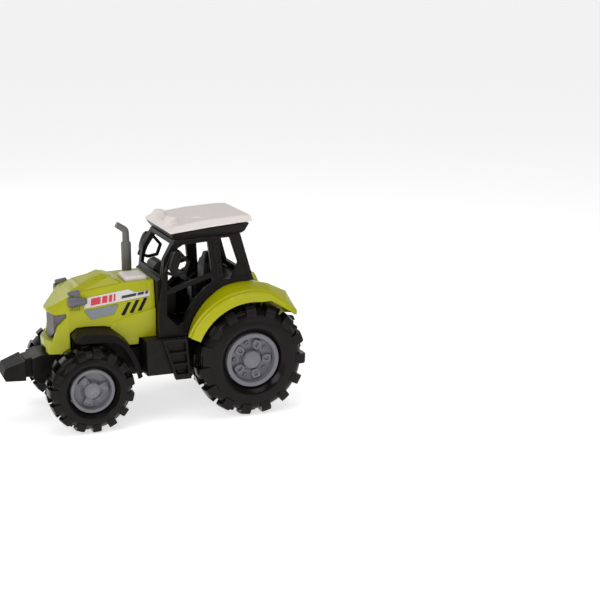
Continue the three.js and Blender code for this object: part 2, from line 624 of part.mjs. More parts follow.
function cabFrontGeometry() {
  const side = [[-4, 55.6], [-4, 91.8], [-1.6, 93], [0.4, 106], [7.6, 118.2], [10, 118.2], [2.8, 106],
    [0.8, 93], [-1.8, 91], [-1.8, 55.6]];
  const inner = CAB_HALF_WIDTH - CAB_SIDE_THICKNESS - GAP;
  const panel = common(sidePrism(side, -inner, inner), cabInside());
  const opening = frontPrism([[-23.4, 95.4], [23.4, 95.4], [21.6, 115.6], [-21.6, 115.6]], -20, 30);
  return cut(panel, opening);
}

// the space between the two leaning side frames, less a small gap
function cabInside() {
  const half = (z) => CAB_HALF_WIDTH - CAB_SIDE_THICKNESS - GAP - (z - CAB_FLOOR_Z) * Math.tan(CAB_LEAN);
  return frontPrism([[-half(50), 50], [half(50), 50], [half(125), 125], [-half(125), 125]], -10, 70);
}

function cabRearGeometry() {
  const side = [[61.2, 89], [58.4, 89], [49.8, 119.6], [52.4, 119.6]];
  const panel = common(sidePrism(side, -30, 30), cabInside());
  const opening = frontPrism([[-22, 93.5], [22, 93.5], [20.6, 116], [-20.6, 116]], 40, 70);
  const apron = box(GAP - FENDER_INNER_X, FENDER_INNER_X - GAP, 59.4, 61, 54 + GAP, 90);
  return join(cut(panel, opening), apron);
}

// a sheet that follows the fender arches, with a footwell sunk between them
const CAB_SHEET = 1.6;
const FOOTWELL = { halfX: 17, front: 14, rear: 37.9, floor: 58 };

function cabFloorGeometry() {
  const { halfX, front, rear, floor } = FOOTWELL;
  const under = [[-1.4, 55.6], [12.2, 55.6], ...crownLine(0.5, 59)];
  const over = [[-1.4, 57.2], [11.4, 57.2], ...crownLine(0.5 + CAB_SHEET, 59)];
  const sheet = common(sidePrism([...under, ...over.reverse()], -30, 30), cabInside());
  const well = box(-halfX, halfX, front - 5, rear - CAB_SHEET, floor, 95);
  const block = box(-halfX, halfX, front - 4, rear, floor - CAB_SHEET, 84);
  return join(cut(sheet, box(-halfX, halfX, front - 2, rear - 1, 50, 95)), cut(block, well));
}

function ceilingGeometry() {
  const block = hull(bothSides([[28.2, 7.7, 118.9], [28.2, 53.4, 120.5], [29, 55.6, 121.8], [30.8, 5, 122.7],
    [30.8, 58.4, 127.3], [30.8, 30, 125.5]]));
  return cut(block, box(-24.5, 24.5, 12, 49, 110, 122));
}

function roofGeometry() {
  const stations = [
    { y: 4.4, low: 123.1, high: 124.8, shoulder: 124, top: 30.4 },
    { y: 8, low: 123.6, high: 127.6, shoulder: 124.8, top: 27.4 },
    { y: 30, low: 126, high: 130.6, shoulder: 127, top: 26.8 },
    { y: 53, low: 127.7, high: 132, shoulder: 128.6, top: 26.6 },
    { y: 60.6, low: 128, high: 131.8, shoulder: 129, top: 26.2 },
  ];
  const rows = stations.map(({ y, low, high, shoulder, top }) => {
    const half = 31.2 - Math.max(0, y - 30) * 0.05;
    return [[-half, y, low], [half, y, low], [half, y, shoulder], [top, y, high], [-top, y, high],
      [-half, y, shoulder]];
  });
  const shell = loft(rows[0].map(([x, , z]) => [x, z]), rows);
  const pocket = hull(bothSides([
    [27, 12, 123], [27, 12, 125.6], [26, 30, 128.2], [26, 55, 129.6], [27, 55, 124],
  ]));
  const beacon = [-14.7, 14.7].map((x) => hull([3.6, -3.6].flatMap((dx) => [
    [x + dx, 6, 125], [x + dx * 0.9, 6.8, 130], [x + dx * 0.55, 7.6, 132.2], [x + dx * 0.55, 10.4, 132.2],
    [x + dx * 0.9, 11.6, 130.4], [x + dx, 12.6, 127.6], [x + dx, 12.6, 126]])));
  const hatch = rodZ(5, 0, 33.5, 129, 131.6, 14);
  return join(cut(shell, pocket), ...beacon, hatch);
}

addPair('cab_side', cabSideGeometry(), BLACK);
addPart('cab_front', cabFrontGeometry(), BLACK);
addPart('cab_rear', cabRearGeometry(), BLACK);
addPart('cab_floor', cabFloorGeometry(), BLACK);
addPart('cab_ceiling', ceilingGeometry(), BLACK);
addPart('roof', roofGeometry(), WHITE);

// ---- inside the cab ----
const STEERING = { y: 17.6, z: 90.8, tilt: THREE.MathUtils.degToRad(-42), radius: 7.2, tube: 1.5 };

function dashboardGeometry() {
  const side = [[-1.4, 57.6], [-1.4, 90.4], [1.4, 92.8], [1.4, 95.8], [-1.4, 96.4], [-0.6, 98.6],
    [1.4, 100.6], [4.6, 101.2], [7.4, 99.4], [8.6, 93], [8.6, 84], [13.6, 80.6], [13.6, 69], [9, 57.6]];
  const column = new THREE.CylinderGeometry(1.3, 1.8, 12, 10).rotateX(Math.PI / 2);
  column.translate(0, 0, -6.6 - GAP).rotateX(STEERING.tilt).translate(0, STEERING.y, STEERING.z);
  return join(sidePrism(side, -9, 9), column);
}

function steeringWheelGeometry() {
  const { radius, tube } = STEERING;
  const ring = [];
  for (let k = 0; k < 6; k += 1) {
    const angle = k * Math.PI / 3;
    ring.push(new THREE.Vector2(radius + tube * Math.cos(angle), tube * Math.sin(angle)));
  }
  const rim = new THREE.LatheGeometry([...ring, ring[0]], 18).rotateX(Math.PI / 2);
  const hub = new THREE.CylinderGeometry(2.6, 2.6, 2, 10).rotateX(Math.PI / 2).translate(0, 0, 0.6);
  const spokes = [90, 210, 330].map((degrees) => (
    box(0, radius, -1, 1, -0.4, 0.8).rotateZ(THREE.MathUtils.degToRad(degrees))));
  return join(rim, hub, ...spokes).rotateX(STEERING.tilt).translate(0, STEERING.y, STEERING.z);
}

function seatGeometry() {
  const base = hull(bothSides([
    [8, 26, 84.4], [8, 35.8, 85], [7.6, 25.4, 83], [7.6, 25.4, 74], [7.6, 35.8, 74],
  ]));
  const pedestal = box(-5, 5, 27, 34.6, FOOTWELL.floor + GAP, 75);
  const back = hull(bothSides([[8, 33.4, 83], [8, 39.6, 83], [8.4, 34.4, 96], [8.4, 40, 96], [5, 36.6, 102.6],
    [5, 40.6, 102.6], [2, 37.6, 104], [2, 40.4, 104]]));
  const shelf = crownLine(CAB_SHEET + 0.5 + GAP, 50).filter(([y]) => y > 37);
  return cut(join(base, pedestal, back), sidePrism([[36.1, 50], [36.1, 87.6], ...shelf, [50, 50]], -20, 20));
}
addPart('dashboard', dashboardGeometry(), BLACK);
addPart('steering_wheel', steeringWheelGeometry(), BLACK);
addPart('seat', seatGeometry(), BLACK);

// ---- mirrors on closed-loop arms ----
function mirrorGeometry() {
  const loop = [[-1.2, 98.4], [6.4, 95.6], [13.6, 96.8], [16.6, 104.7], [12.6, 109.6], [9, 113.6],
    [4.6, 112]];
  const arm = sidePrism(loop, 31.8, 33.4, [shrunk(loop, 1.7)]);
  const ring = (half, height, y) => {
    const points = [];
    for (let k = 0; k < 10; k += 1) {
      const angle = k * Math.PI / 5;
      points.push([half * Math.sin(angle), y, height * Math.cos(angle)]);
    }
    return points;
  };
  const shell = hull([...ring(3.2, 5.4, -2.6), ...ring(4.6, 7.4, -0.6), ...ring(4.6, 7.4, 1.8)]);
  shell.rotateX(THREE.MathUtils.degToRad(-20)).translate(36.8, 5.6, 106.4);
  return join(arm, shell);
}
addPair('mirror', mirrorGeometry(), BLACK);

// ---- sound unit: press button in the hood, return spring, circuit board with its switch, speaker ----
const BOARD_TOP = 79.6;

function buttonGeometry() {
  const { x, y, halfX, halfY, rim, skirtZ, stemZ } = BUTTON;
  const loop = (dx, dy, z) => [
    [x - dx, y - dy, z], [x + dx, y - dy, z], [x + dx, y + dy, z], [x - dx, y + dy, z],
  ];
  const cap = hull([...loop(halfX, halfY - 1.4, rim - 1), ...loop(halfX - 1.4, halfY, rim - 1),
    ...loop(halfX, halfY - 1.4, rim), ...loop(halfX - 1.4, halfY, rim),
    ...loop(halfX - 2.6, halfY - 2.4, rim + 1.9)]);
  const skirt = box(x - 5, x + 5, y - 5, y + 5, skirtZ, rim);
  return join(cap, skirt, rodZ(1.2, x, y, stemZ, skirtZ + 1, 8));
}

function springGeometry() {
  const turns = 3.5;
  const rows = [];
  for (let k = 0; k <= turns * 10; k += 1) {
    const angle = k * Math.PI / 5;
    const z = BOARD_TOP + GAP + 0.4 + (BUTTON.skirtZ - BOARD_TOP - 2 * GAP - 0.8) * (k / (turns * 10));
    rows.push([[2.3, -0.4], [3.1, -0.4], [3.1, 0.4], [2.3, 0.4]].map(([radius, lift]) => (
      [BUTTON.x + radius * Math.cos(angle), BUTTON.y + radius * Math.sin(angle), z + lift])));
  }
  return loft([[2.3, -0.4], [3.1, -0.4], [3.1, 0.4], [2.3, 0.4]], rows);
}

function soundBoardGeometry() {
  const card = box(-12, 12, -30, -6, BOARD_TOP - 1.6, BOARD_TOP);
  const pressed = BUTTON.stemZ - BUTTON_TRAVEL - GAP / 2;
  const { x, y } = BUTTON;
  const switchBody = box(x - 1.5, x + 1.5, y - 1.5, y + 1.5, BOARD_TOP - 0.5, pressed);
  const chip = box(-10, -2, -24, -16, BOARD_TOP - 0.5, BOARD_TOP + 1.4);
  return join(card, switchBody, chip);
}

addPart('sound_button', buttonGeometry(), WHITE);
addPart('button_spring', springGeometry(), STEEL);
addPart('sound_board', soundBoardGeometry(), BOARD_GREEN);
addPart('speaker', join(rodZ(10, 0, -22, 30.3, 32.6), rodZ(5, 0, -22, 32, 36, 12)), STEEL);

// ---- three button cells under a cover in the floor ----
const CELL = { radius: 5.8, length: 5.4, z: 36.5, y: 3.4 };

function batteryCoverGeometry() {
  const plate = box(-9 + GAP, 9 - GAP, -2 + GAP, 26 - GAP, 28, 29.9);
  const cradle = box(-7.4, 7.4, 1.2, 21.8, 29, 36);
  const hollow = join(box(-6.1, 6.1, CELL.y - 0.4, 20.6, 30.3, 40), box(-9, 9, 8, 15, 33, 40));
  return cut(join(plate, cradle), hollow);
}
addPart('battery_cover', batteryCoverGeometry(), BLACK);
for (let k = 0; k < 3; k += 1) {
  const cell = new THREE.CylinderGeometry(CELL.radius, CELL.radius, CELL.length, 16);
  addPart(`battery_${k + 1}`, cell, STEEL, [0, CELL.y + CELL.length / 2 + k * (CELL.length + 0.25), CELL.z]);
}

// ---- friction motor: the axle gear drives a layshaft, which drives the flywheel ----
const TOOTH = { pitchPerTooth: 0.3, above: 0.4, below: 0.62, tipHalf: 0.08, rootHalf: 0.22 };
const TEETH = { axle: 22, pinion: 9, wheel: 20 };
const LAYSHAFT_Z = 40;
const pitchRadius = (teeth) => teeth * TOOTH.pitchPerTooth;
const firstReach = pitchRadius(TEETH.axle) + pitchRadius(TEETH.pinion);
const secondReach = pitchRadius(TEETH.wheel) + pitchRadius(TEETH.pinion);
const LAYSHAFT_Y = REAR_AXLE_Y - Math.sqrt(firstReach ** 2 - (LAYSHAFT_Z - REAR_WHEEL.radius) ** 2);
const FLYWHEEL_Y = LAYSHAFT_Y - secondReach;
const towardsLayshaft = Math.atan2(LAYSHAFT_Z - REAR_WHEEL.radius, LAYSHAFT_Y - REAR_AXLE_Y);
const SHAFT = { radius: 1, end: 10.4 };

// firstTooth is the direction of one tooth about the shaft
function gear(teeth, firstTooth, x0, x1, hole = 0) {
  const { above, below, tipHalf, rootHalf } = TOOTH;
  const pitch = pitchRadius(teeth);
  const outline = [];
  for (let n = 0; n < teeth; n += 1) {
    [[-below, -rootHalf], [above, -tipHalf], [above, tipHalf], [-below, rootHalf]].forEach(([lift, side]) => {
      const angle = firstTooth + (n + side) * 2 * Math.PI / teeth;
      outline.push([(pitch + lift) * Math.cos(angle), (pitch + lift) * Math.sin(angle)]);
    });
  }
  const blank = sidePrism(outline, x0, x1);
  return hole ? cut(blank, rodX(hole, x0 - 1, x1 + 1)) : blank;
}

function shaft() {
  return rodX(SHAFT.radius, -SHAFT.end, SHAFT.end, 0, 0, 10);
}

function motorHousingGeometry() {
  const outer = box(-11.6, 11.6, FLYWHEEL_Y - 9, LAYSHAFT_Y + 1.8, 30.3, 52);
  const room = box(-9.4, 9.4, FLYWHEEL_Y - 20, LAYSHAFT_Y + 20, 20, 50.4);
  const bores = [LAYSHAFT_Y, FLYWHEEL_Y].map((y) => rodX(SHAFT.radius + 0.2, -20, 20, y, LAYSHAFT_Z, 12));
  return cut(outer, room, ...bores);
}

const halfPitch = Math.PI / TEETH.pinion;
addPart('axle_gear', gear(TEETH.axle, towardsLayshaft, -6.4, -3.4, REAR_WHEEL.axleRadius + 0.1), WHITE,
  [0, REAR_AXLE_Y, REAR_WHEEL.radius]);
addPart('layshaft', join(shaft(), gear(TEETH.pinion, towardsLayshaft + Math.PI + halfPitch, -6.8, -3),
  gear(TEETH.wheel, Math.PI, 3.6, 6.4)), WHITE, [0, LAYSHAFT_Y, LAYSHAFT_Z]);
const flywheelDisc = rodX(7.4, -2.4, 2.6, 0, 0, 20);
addPart('flywheel', join(shaft(), gear(TEETH.pinion, halfPitch, 3.2, 6.8), flywheelDisc), BRASS,
  [0, FLYWHEEL_Y, LAYSHAFT_Z]);
addPart('motor_housing', motorHousingGeometry(), DARK_GREY);

export default tractor;
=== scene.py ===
import math

import bmesh
import bpy
from mathutils import Matrix, Vector


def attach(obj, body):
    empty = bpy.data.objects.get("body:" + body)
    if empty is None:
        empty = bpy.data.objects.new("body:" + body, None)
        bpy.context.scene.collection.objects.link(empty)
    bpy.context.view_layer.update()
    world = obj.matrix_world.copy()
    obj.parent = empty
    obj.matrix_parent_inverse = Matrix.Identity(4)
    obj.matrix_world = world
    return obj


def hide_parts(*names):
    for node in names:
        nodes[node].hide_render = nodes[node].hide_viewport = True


MM = 0.001
REAR = {"y": 55.0, "radius": 38.0, "middle": 36.0, "half": 12.0, "rim": 18.2, "axle": 2.15,
        "lug": 3.8, "lug_width": 6.2, "reach": 4.2, "turn": -9.2, "crest": 23.4, "shoulder_drop": 1.1}
FRONT = {"y": -52.0, "radius": 28.0, "middle": 34.75, "half": 10.75, "rim": 14.3, "axle": 1.65,
         "lug": 3.0, "lug_width": 5.2, "reach": 3.2, "turn": 3.9, "crest": 17.9, "shoulder_drop": 0.9}
LUG_COUNT = 15
BUTTON_X, BUTTON_Y, BUTTON_HALF_X, BUTTON_HALF_Y = 5.5, -14.6, 10, 7.8
STACK_X, STACK_Y = -15.5, -13.2
ROOF_Y, ROOF_Z, ROOF_RISE = 30, 130.6, 0.061
HATCH_Y, HATCH_REACH, HATCH_Z = 33.5, 5.3, 130.9
BOSS_X, BOSS_Y, BOSS_Z = 10.2, 27.8, 130.45
BEACON_X = 14.7
SIDES = (("left", 1), ("right", -1))

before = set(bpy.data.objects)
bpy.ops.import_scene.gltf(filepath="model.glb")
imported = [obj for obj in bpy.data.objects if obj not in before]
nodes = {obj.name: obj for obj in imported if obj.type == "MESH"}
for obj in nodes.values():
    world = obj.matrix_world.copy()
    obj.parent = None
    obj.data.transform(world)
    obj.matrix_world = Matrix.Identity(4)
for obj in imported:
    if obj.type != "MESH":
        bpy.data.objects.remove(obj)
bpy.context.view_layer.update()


# ---- mesh building, in millimetres ----
class Shape:
    """Closed shells gathered into one mesh."""

    def __init__(self):
        self.verts = []
        self.faces = []

    def loft(self, rings, closed=False):
        """A skin over rings of equally many points, capped at both ends unless it runs round."""
        base, size, count = len(self.verts), len(rings[0]), len(rings)
        for ring in rings:
            self.verts.extend(tuple(p) for p in ring)
        for k in range(count if closed else count - 1):
            for j in range(size):
                here, there = base + k * size, base + (k + 1) % count * size
                after = (j + 1) % size
                self.faces.append((here + j, here + after, there + after, there + j))
        if not closed:
            self.faces.append(tuple(base + j for j in reversed(range(size))))
            last = base + (count - 1) * size
            self.faces.append(tuple(last + j for j in range(size)))
        return self

    def lathe_x(self, profile, segments, centre=(0, 0)):
        """Turns (x, radius) points about an axle parallel to X through (y, z)."""
        rings = []
        for k in range(segments):
            a = 2 * math.pi * k / segments
            rings.append([(x, centre[0] + r * math.sin(a), centre[1] - r * math.cos(a)) for x, r in profile])
        return self.loft(rings, closed=True)

    def tube(self, path, radii, sides=24):
        """A round tube through points, with a radius at each."""
        points = [Vector(p) for p in path]
        rings = []
        normal = None
        for k, point in enumerate(points):
            before, after = points[max(k - 1, 0)], points[min(k + 1, len(points) - 1)]
            along = (after - before).normalized()
            if normal is None:
                normal = along.orthogonal().normalized()
            normal = (normal - along * normal.dot(along)).normalized()
            across = along.cross(normal)
            ring = []
            for j in range(sides):
                a = 2 * math.pi * j / sides
                ring.append(point + (normal * math.cos(a) + across * math.sin(a)) * radii[k])
            rings.append(ring)
        return self.loft(rings)

    def object(self, name, mirror=False):
        """A smooth-shaded object of the shape, mirrored to the right side if asked."""
        mesh = bpy.data.meshes.new(name)
        side = -1 if mirror else 1
        mesh.from_pydata([(x * MM * side, y * MM, z * MM) for x, y, z in self.verts], [], self.faces)
        bm = bmesh.new()
        bm.from_mesh(mesh)
        bmesh.ops.remove_doubles(bm, verts=bm.verts, dist=1e-7)
        bmesh.ops.dissolve_degenerate(bm, edges=bm.edges, dist=1e-7)
        bmesh.ops.recalc_face_normals(bm, faces=bm.faces)
        for face in bm.faces:
            face.smooth = True
        bm.to_mesh(mesh)
        bm.free()
        obj = bpy.data.objects.new(name, mesh)
        bpy.context.scene.collection.objects.link(obj)
        return obj


def rounded(obj, width, segments=2, degrees=30):
    """Small moulding radii on every edge sharper than the limit, with clean shading on the flats."""
    bevel = obj.modifiers.new("edge_radius", "BEVEL")
    bevel.width = width * MM
    bevel.segments = segments
    bevel.limit_method = "ANGLE"
    bevel.angle_limit = math.radians(degrees)
    bevel.harden_normals = True
    bevel.miter_outer = "MITER_ARC"
    return obj


def carried(obj, width, degrees=24, flat_degrees=0.4):
    """A CAD node kept in shape: welded, freed of its flat triangles and given edge radii."""
    weld = obj.modifiers.new("weld", "WELD")
    weld.merge_threshold = 2e-5
    flat = obj.modifiers.new("flats", "DECIMATE")
    flat.decimate_type = "DISSOLVE"
    flat.angle_limit = math.radians(flat_degrees)
    rounded(obj, width, 2, degrees)


def smooth_line(points, steps):
    """A smooth line through the points, with steps pieces between each two."""
    line = []
    padded = [points[0], *points, points[-1]]
    for k in range(1, len(padded) - 2):
        a, b, c, d = (Vector(p) for p in padded[k - 1:k + 3])
        for s in range(steps):
            t = s / steps
            line.append(0.5 * (2 * b + (c - a) * t + (2 * a - 5 * b + 4 * c - d) * t * t
                               + (3 * b - a - 3 * c + d) * t ** 3))
    line.append(Vector(points[-1]))
    return line


# ---- materials ----
def srgb(red, green, blue):
    """Linear colour from 0 to 255 display values."""
    def linear(value):
        value /= 255
        return value / 12.92 if value <= 0.04045 else ((value + 0.055) / 1.055) ** 2.4
    return (linear(red), linear(green), linear(blue), 1.0)


def plastic(name, colour, second, worn, gloss, grain=0.02, grain_size=1800.0, coat=0.0, wear=0.35, metal=0.0,
            shine=0.5):
    """A moulded surface: two tints that drift together, uneven gloss, fine grain and worn edges."""
    material = bpy.data.materials.new(name)
    material.use_nodes = True
    tree = material.node_tree
    links = tree.links
    shader = tree.nodes["Principled BSDF"]
    place = tree.nodes.new("ShaderNodeTexCoord").outputs["Object"]

    def noise(scale, detail, rough=0.55):
        node = tree.nodes.new("ShaderNodeTexNoise")
        node.inputs["Scale"].default_value = scale
        node.inputs["Detail"].default_value = detail
        node.inputs["Roughness"].default_value = rough
        links.new(place, node.inputs["Vector"])
        return node.outputs["Fac"]

    def spread(value, low, high, new_low, new_high):
        node = tree.nodes.new("ShaderNodeMapRange")
        node.inputs["From Min"].default_value = low
        node.inputs["From Max"].default_value = high
        node.inputs["To Min"].default_value = new_low
        node.inputs["To Max"].default_value = new_high
        links.new(value, node.inputs["Value"])
        return node.outputs["Result"]

    def blend(factor, one, other):
        node = tree.nodes.new("ShaderNodeMix")
        node.data_type = "RGBA"
        links.new(factor, node.inputs[0])
        for socket, value in ((node.inputs[6], one), (node.inputs[7], other)):
            if isinstance(value, tuple):
                socket.default_value = value
            else:
                links.new(value, socket)
        return node.outputs[2]

    def times(one, other):
        node = tree.nodes.new("ShaderNodeMath")
        node.operation = "MULTIPLY"
        links.new(one, node.inputs[0])
        links.new(other, node.inputs[1])
        return node.outputs[0]

    drift = spread(noise(22.0, 3.0), 0.3, 0.7, 0.0, 1.0)
    tint = blend(drift, colour, second)
    point = tree.nodes.new("ShaderNodeNewGeometry").outputs["Pointiness"]
    edge = spread(point, 0.52, 0.62, 0.0, wear)
    rubbed = times(edge, spread(noise(160.0, 4.0), 0.42, 0.62, 0.15, 1.0))
    links.new(blend(rubbed, tint, worn), shader.inputs["Base Color"])
    smudge = noise(75.0, 5.0, 0.65)
    links.new(spread(smudge, 0.25, 0.75, gloss - 0.05, gloss + 0.07), shader.inputs["Roughness"])
    bump = tree.nodes.new("ShaderNodeBump")
    bump.inputs["Strength"].default_value = 1.0
    bump.inputs["Distance"].default_value = grain * MM
    links.new(noise(grain_size, 2.0), bump.inputs["Height"])
    links.new(bump.outputs["Normal"], shader.inputs["Normal"])
    shader.inputs["Metallic"].default_value = metal
    shader.inputs["IOR"].default_value = 1.5
    shader.inputs["Specular IOR Level"].default_value = shine
    shader.inputs["Coat Weight"].default_value = coat
    shader.inputs["Coat Roughness"].default_value = 0.08
    return material


GREEN = plastic("green_plastic", srgb(180, 180, 4), srgb(171, 172, 3), srgb(200, 201, 66), 0.3, 0.012, 900,
                0.12, shine=0.3)
BLACK = plastic("black_plastic", srgb(26, 22, 21), srgb(21, 18, 17), srgb(50, 47, 46), 0.36, 0.03, 2400,
                shine=0.13)
# Gloss black lifted to mid grey: a painted highlight on the steering wheel, standing in for the shine that
# the lights inside the cab don't give it.
GLOSS_BLACK_PAINTED_HIGHLIGHT = plastic("gloss_black_plastic", srgb(76, 79, 84), srgb(68, 71, 76), srgb(110, 112, 116), 0.22,
                      0.01, 1500)
RUBBER = plastic("tyre_rubber", srgb(19, 15, 13), srgb(15, 11, 10), srgb(42, 38, 36), 0.17, 0.02, 1600,
                 shine=0.17)
GREY = plastic("grey_plastic", srgb(117, 116, 122), srgb(109, 108, 115), srgb(158, 158, 162), 0.34, 0.02,
               1800)
POD_GREY = plastic("pod_grey_plastic", srgb(108, 104, 108), srgb(99, 96, 100), srgb(142, 140, 144), 0.38,
                   0.02, 1800)
DARK_GREY = plastic("dark_grey_plastic", srgb(86, 80, 84), srgb(79, 73, 77), srgb(128, 126, 130), 0.4, 0.02,
                    1800)
STACK_GREY = plastic("stack_grey_plastic", srgb(112, 109, 108), srgb(102, 100, 100), srgb(124, 124, 126),
                     0.36, 0.02, 1800)
PALE_GREY = plastic("pale_grey_plastic", srgb(128, 135, 139), srgb(122, 129, 134), srgb(154, 160, 164), 0.3,
                    0.01, 1500)
WHITE = plastic("white_plastic", srgb(238, 229, 224), srgb(232, 223, 218), srgb(246, 240, 236), 0.38, 0.015,
                1800)
LABEL_WHITE = plastic("label_white", srgb(226, 222, 221), srgb(219, 216, 216), srgb(214, 212, 212), 0.3,
                      0.006, 1200, 0.2)
LABEL_RED = plastic("label_red", srgb(214, 42, 64), srgb(206, 36, 58), srgb(222, 74, 92), 0.34, 0.006, 1200,
                    0.2)
LABEL_BLACK = plastic("label_black", srgb(40, 37, 40), srgb(34, 31, 34), srgb(70, 66, 70), 0.34, 0.006, 1200,
                      0.2)
STEEL = plastic("steel", srgb(182, 182, 184), srgb(168, 168, 172), srgb(214, 214, 216), 0.26, 0.01, 3000, 0,
                0.3, 1.0)
BRASS = plastic("brass", srgb(185, 154, 74), srgb(172, 141, 66), srgb(212, 184, 110), 0.3, 0.01, 3000, 0, 0.3,
                1.0)
BOARD = plastic("board_green", srgb(47, 107, 58), srgb(40, 94, 50), srgb(90, 140, 96), 0.45, 0.02, 2000)
CONE = plastic("speaker_black", srgb(36, 35, 36), srgb(30, 29, 30), srgb(66, 64, 64), 0.55, 0.04, 2600,
               shine=0.25)
CELL = plastic("cell_steel", srgb(200, 199, 196), srgb(188, 187, 185), srgb(222, 222, 220), 0.24, 0.008, 3000,
               0, 0.3, 1.0)

# The finishes and edge radii of the CAD nodes that stay in view. A node that isn't named is black,
# and one without a radius keeps its sharp edges, like the nodes that finer pieces replace.
FINISHES = {
    "rear_axle": STEEL, "front_axle": STEEL, "button_spring": STEEL, "battery": CELL, "battery_cover": BLACK,
    "sound_board": BOARD, "speaker": CONE, "flywheel": BRASS, "motor_housing": DARK_GREY, "axle_gear": WHITE,
    "layshaft": WHITE, "nose_grille": DARK_GREY, "side_label": LABEL_WHITE, "side_panel": PALE_GREY,
}
RADII = {
    "nose_grille": 0.25, "side_label": 0.08, "side_panel": 0.08, "cab_side": 0.35, "cab_front": 0.35,
    "cab_rear": 0.35, "cab_ceiling": 0.5, "cab_floor": 0.3, "chassis": 0.5, "front_bracket": 0.4,
    "front_weight": 0.4, "rear_hitch": 0.3, "front_mudguard": 0.4, "side_tank": 0.7, "ladder": 0.35,
    "dashboard": 0.6, "battery_cover": 0.3, "motor_housing": 0.4, "speaker": 0.2, "sound_board": 0.1,
}


def lookup(table, name, default):
    """The table's value for a node, under its name with or without its side; battery cells share one."""
    for end in ("", "_left", "_right"):
        if end and not name.endswith(end):
            continue
        key = name[:len(name) - len(end)] if end else name
        if key in table:
            return table[key]
    if name.startswith("battery_"):
        return table.get("battery", default)
    return default


def paint(obj, material):
    """Makes the material the object's only one."""
    obj.data.materials.clear()
    obj.data.materials.append(material)


for node_name, node in nodes.items():
    for slot_index in range(max(1, len(node.material_slots))):
        if not node.material_slots:
            node.data.materials.append(lookup(FINISHES, node_name, BLACK))
        node.material_slots[slot_index].link = "OBJECT"
        node.material_slots[slot_index].material = lookup(FINISHES, node_name, BLACK)
    radius = lookup(RADII, node_name, 0)
    if radius:
        carried(node, radius)


# ---- wheels ----
def tyre(name, wheel, mirror):
    """A hollow carcass with a bead bowl and raised ring, and two staggered rings of shoulder lugs."""
    middle, half, rim, top = wheel["middle"], wheel["half"], wheel["rim"], wheel["radius"] - wheel["lug"]
    crest, shoulder_drop = wheel["crest"], wheel["shoulder_drop"]
    s = half / 12
    wall = [(6.2 * s, rim + 0.3), (7.4 * s, rim + 0.5), (9.4 * s, rim + (crest - rim) * 0.42),
            (11.1 * s, rim + (crest - rim) * 0.76), (11.8 * s, crest - 0.5), (12 * s, crest + 0.4),
            (11.9 * s, crest + 1.5), (11.4 * s, crest + (top - crest) * 0.42),
            (10.7 * s, crest + (top - crest) * 0.66), (9.8 * s, top - 1.9), (8.9 * s, top - 0.9),
            (8.1 * s, top - 0.5), (7.7 * s, top + 0.15),
            (6.5 * s, top + 0.2), (6.1 * s, top - 0.4), (4.9 * s, top - 0.35), (4.5 * s, top + 0.35),
            (3.0 * s, top + 0.45), (2.6 * s, top - 0.15), (0.0, top)]
    section = [(middle + x, r) for x, r in wall] + [(middle - x, r) for x, r in reversed(wall[:-1])]
    centre = (wheel["y"], wheel["radius"])
    shape = Shape().lathe_x(section, 96, centre)
    tip, half_angle = wheel["radius"], wheel["lug_width"] / 2 / wheel["radius"]
    across = [(0.2, top - 2), (0.2, tip), (5.5 * s, tip - 0.1), (8.4 * s, tip - 0.45),
              (10.2 * s, tip - shoulder_drop), (11.15 * s, tip - shoulder_drop - 1.8), (11.6 * s, top - 1.6),
              (11.5 * s, top - wheel["reach"]), (10.4 * s, top - wheel["reach"] - 1), (8.0 * s, top - 2.4)]
    for side in (1, -1):
        for n in range(LUG_COUNT):
            at = math.radians(wheel["turn"]) + (n + (0.5 if side < 0 else 0)) * 2 * math.pi / LUG_COUNT
            rings = []
            for step in (-1, -0.4, 0.4, 1):
                ring = []
                for x, r in across:
                    spread = half_angle * (1 + 0.32 * min(1, max(0, (tip - r) / wheel["lug"])))
                    a = at + spread * step
                    ring.append((middle + side * x, centre[0] + r * math.sin(a), centre[1] - r * math.cos(a)))
                rings.append(ring)
            shape.loft(rings)
    obj = rounded(shape.object(name, mirror), 0.45, 2, 40)
    paint(obj, RUBBER)
    return obj


def disc_rings(outline, levels, angle, radius, centre):
    """Copies of an outline about a point on the dish: each level is (x, scale across, scale along)."""
    rings = []
    for x, wide, tall in levels:
        ring = []
        for u, v in outline:
            along, over = radius + v * tall, u * wide
            ring.append((x, centre[0] + along * math.sin(angle) + over * math.cos(angle),
                         centre[1] - along * math.cos(angle) + over * math.sin(angle)))
        rings.append(ring)
    return rings


def rounded_outline(corners, cut, per_corner=4):
    """A closed outline with its corners rounded off."""
    line = []
    count = len(corners)
    for k in range(count):
        here, before, after = (Vector(corners[i % count]) for i in (k, k - 1, k + 1))
        start = here + (before - here).normalized() * cut
        end = here + (after - here).normalized() * cut
        for j in range(per_corner + 1):
            t = j / per_corner
            line.append(tuple(start * (1 - t) ** 2 + here * 2 * t * (1 - t) + end * t * t))
    return line


def ellipse_like(outline, wide, tall):
    """Points of an ellipse in the same directions as the outline's points."""
    line = []
    for u, v in outline:
        a = math.atan2(v / tall, u / wide)
        line.append((wide * math.cos(a), tall * math.sin(a)))
    return line


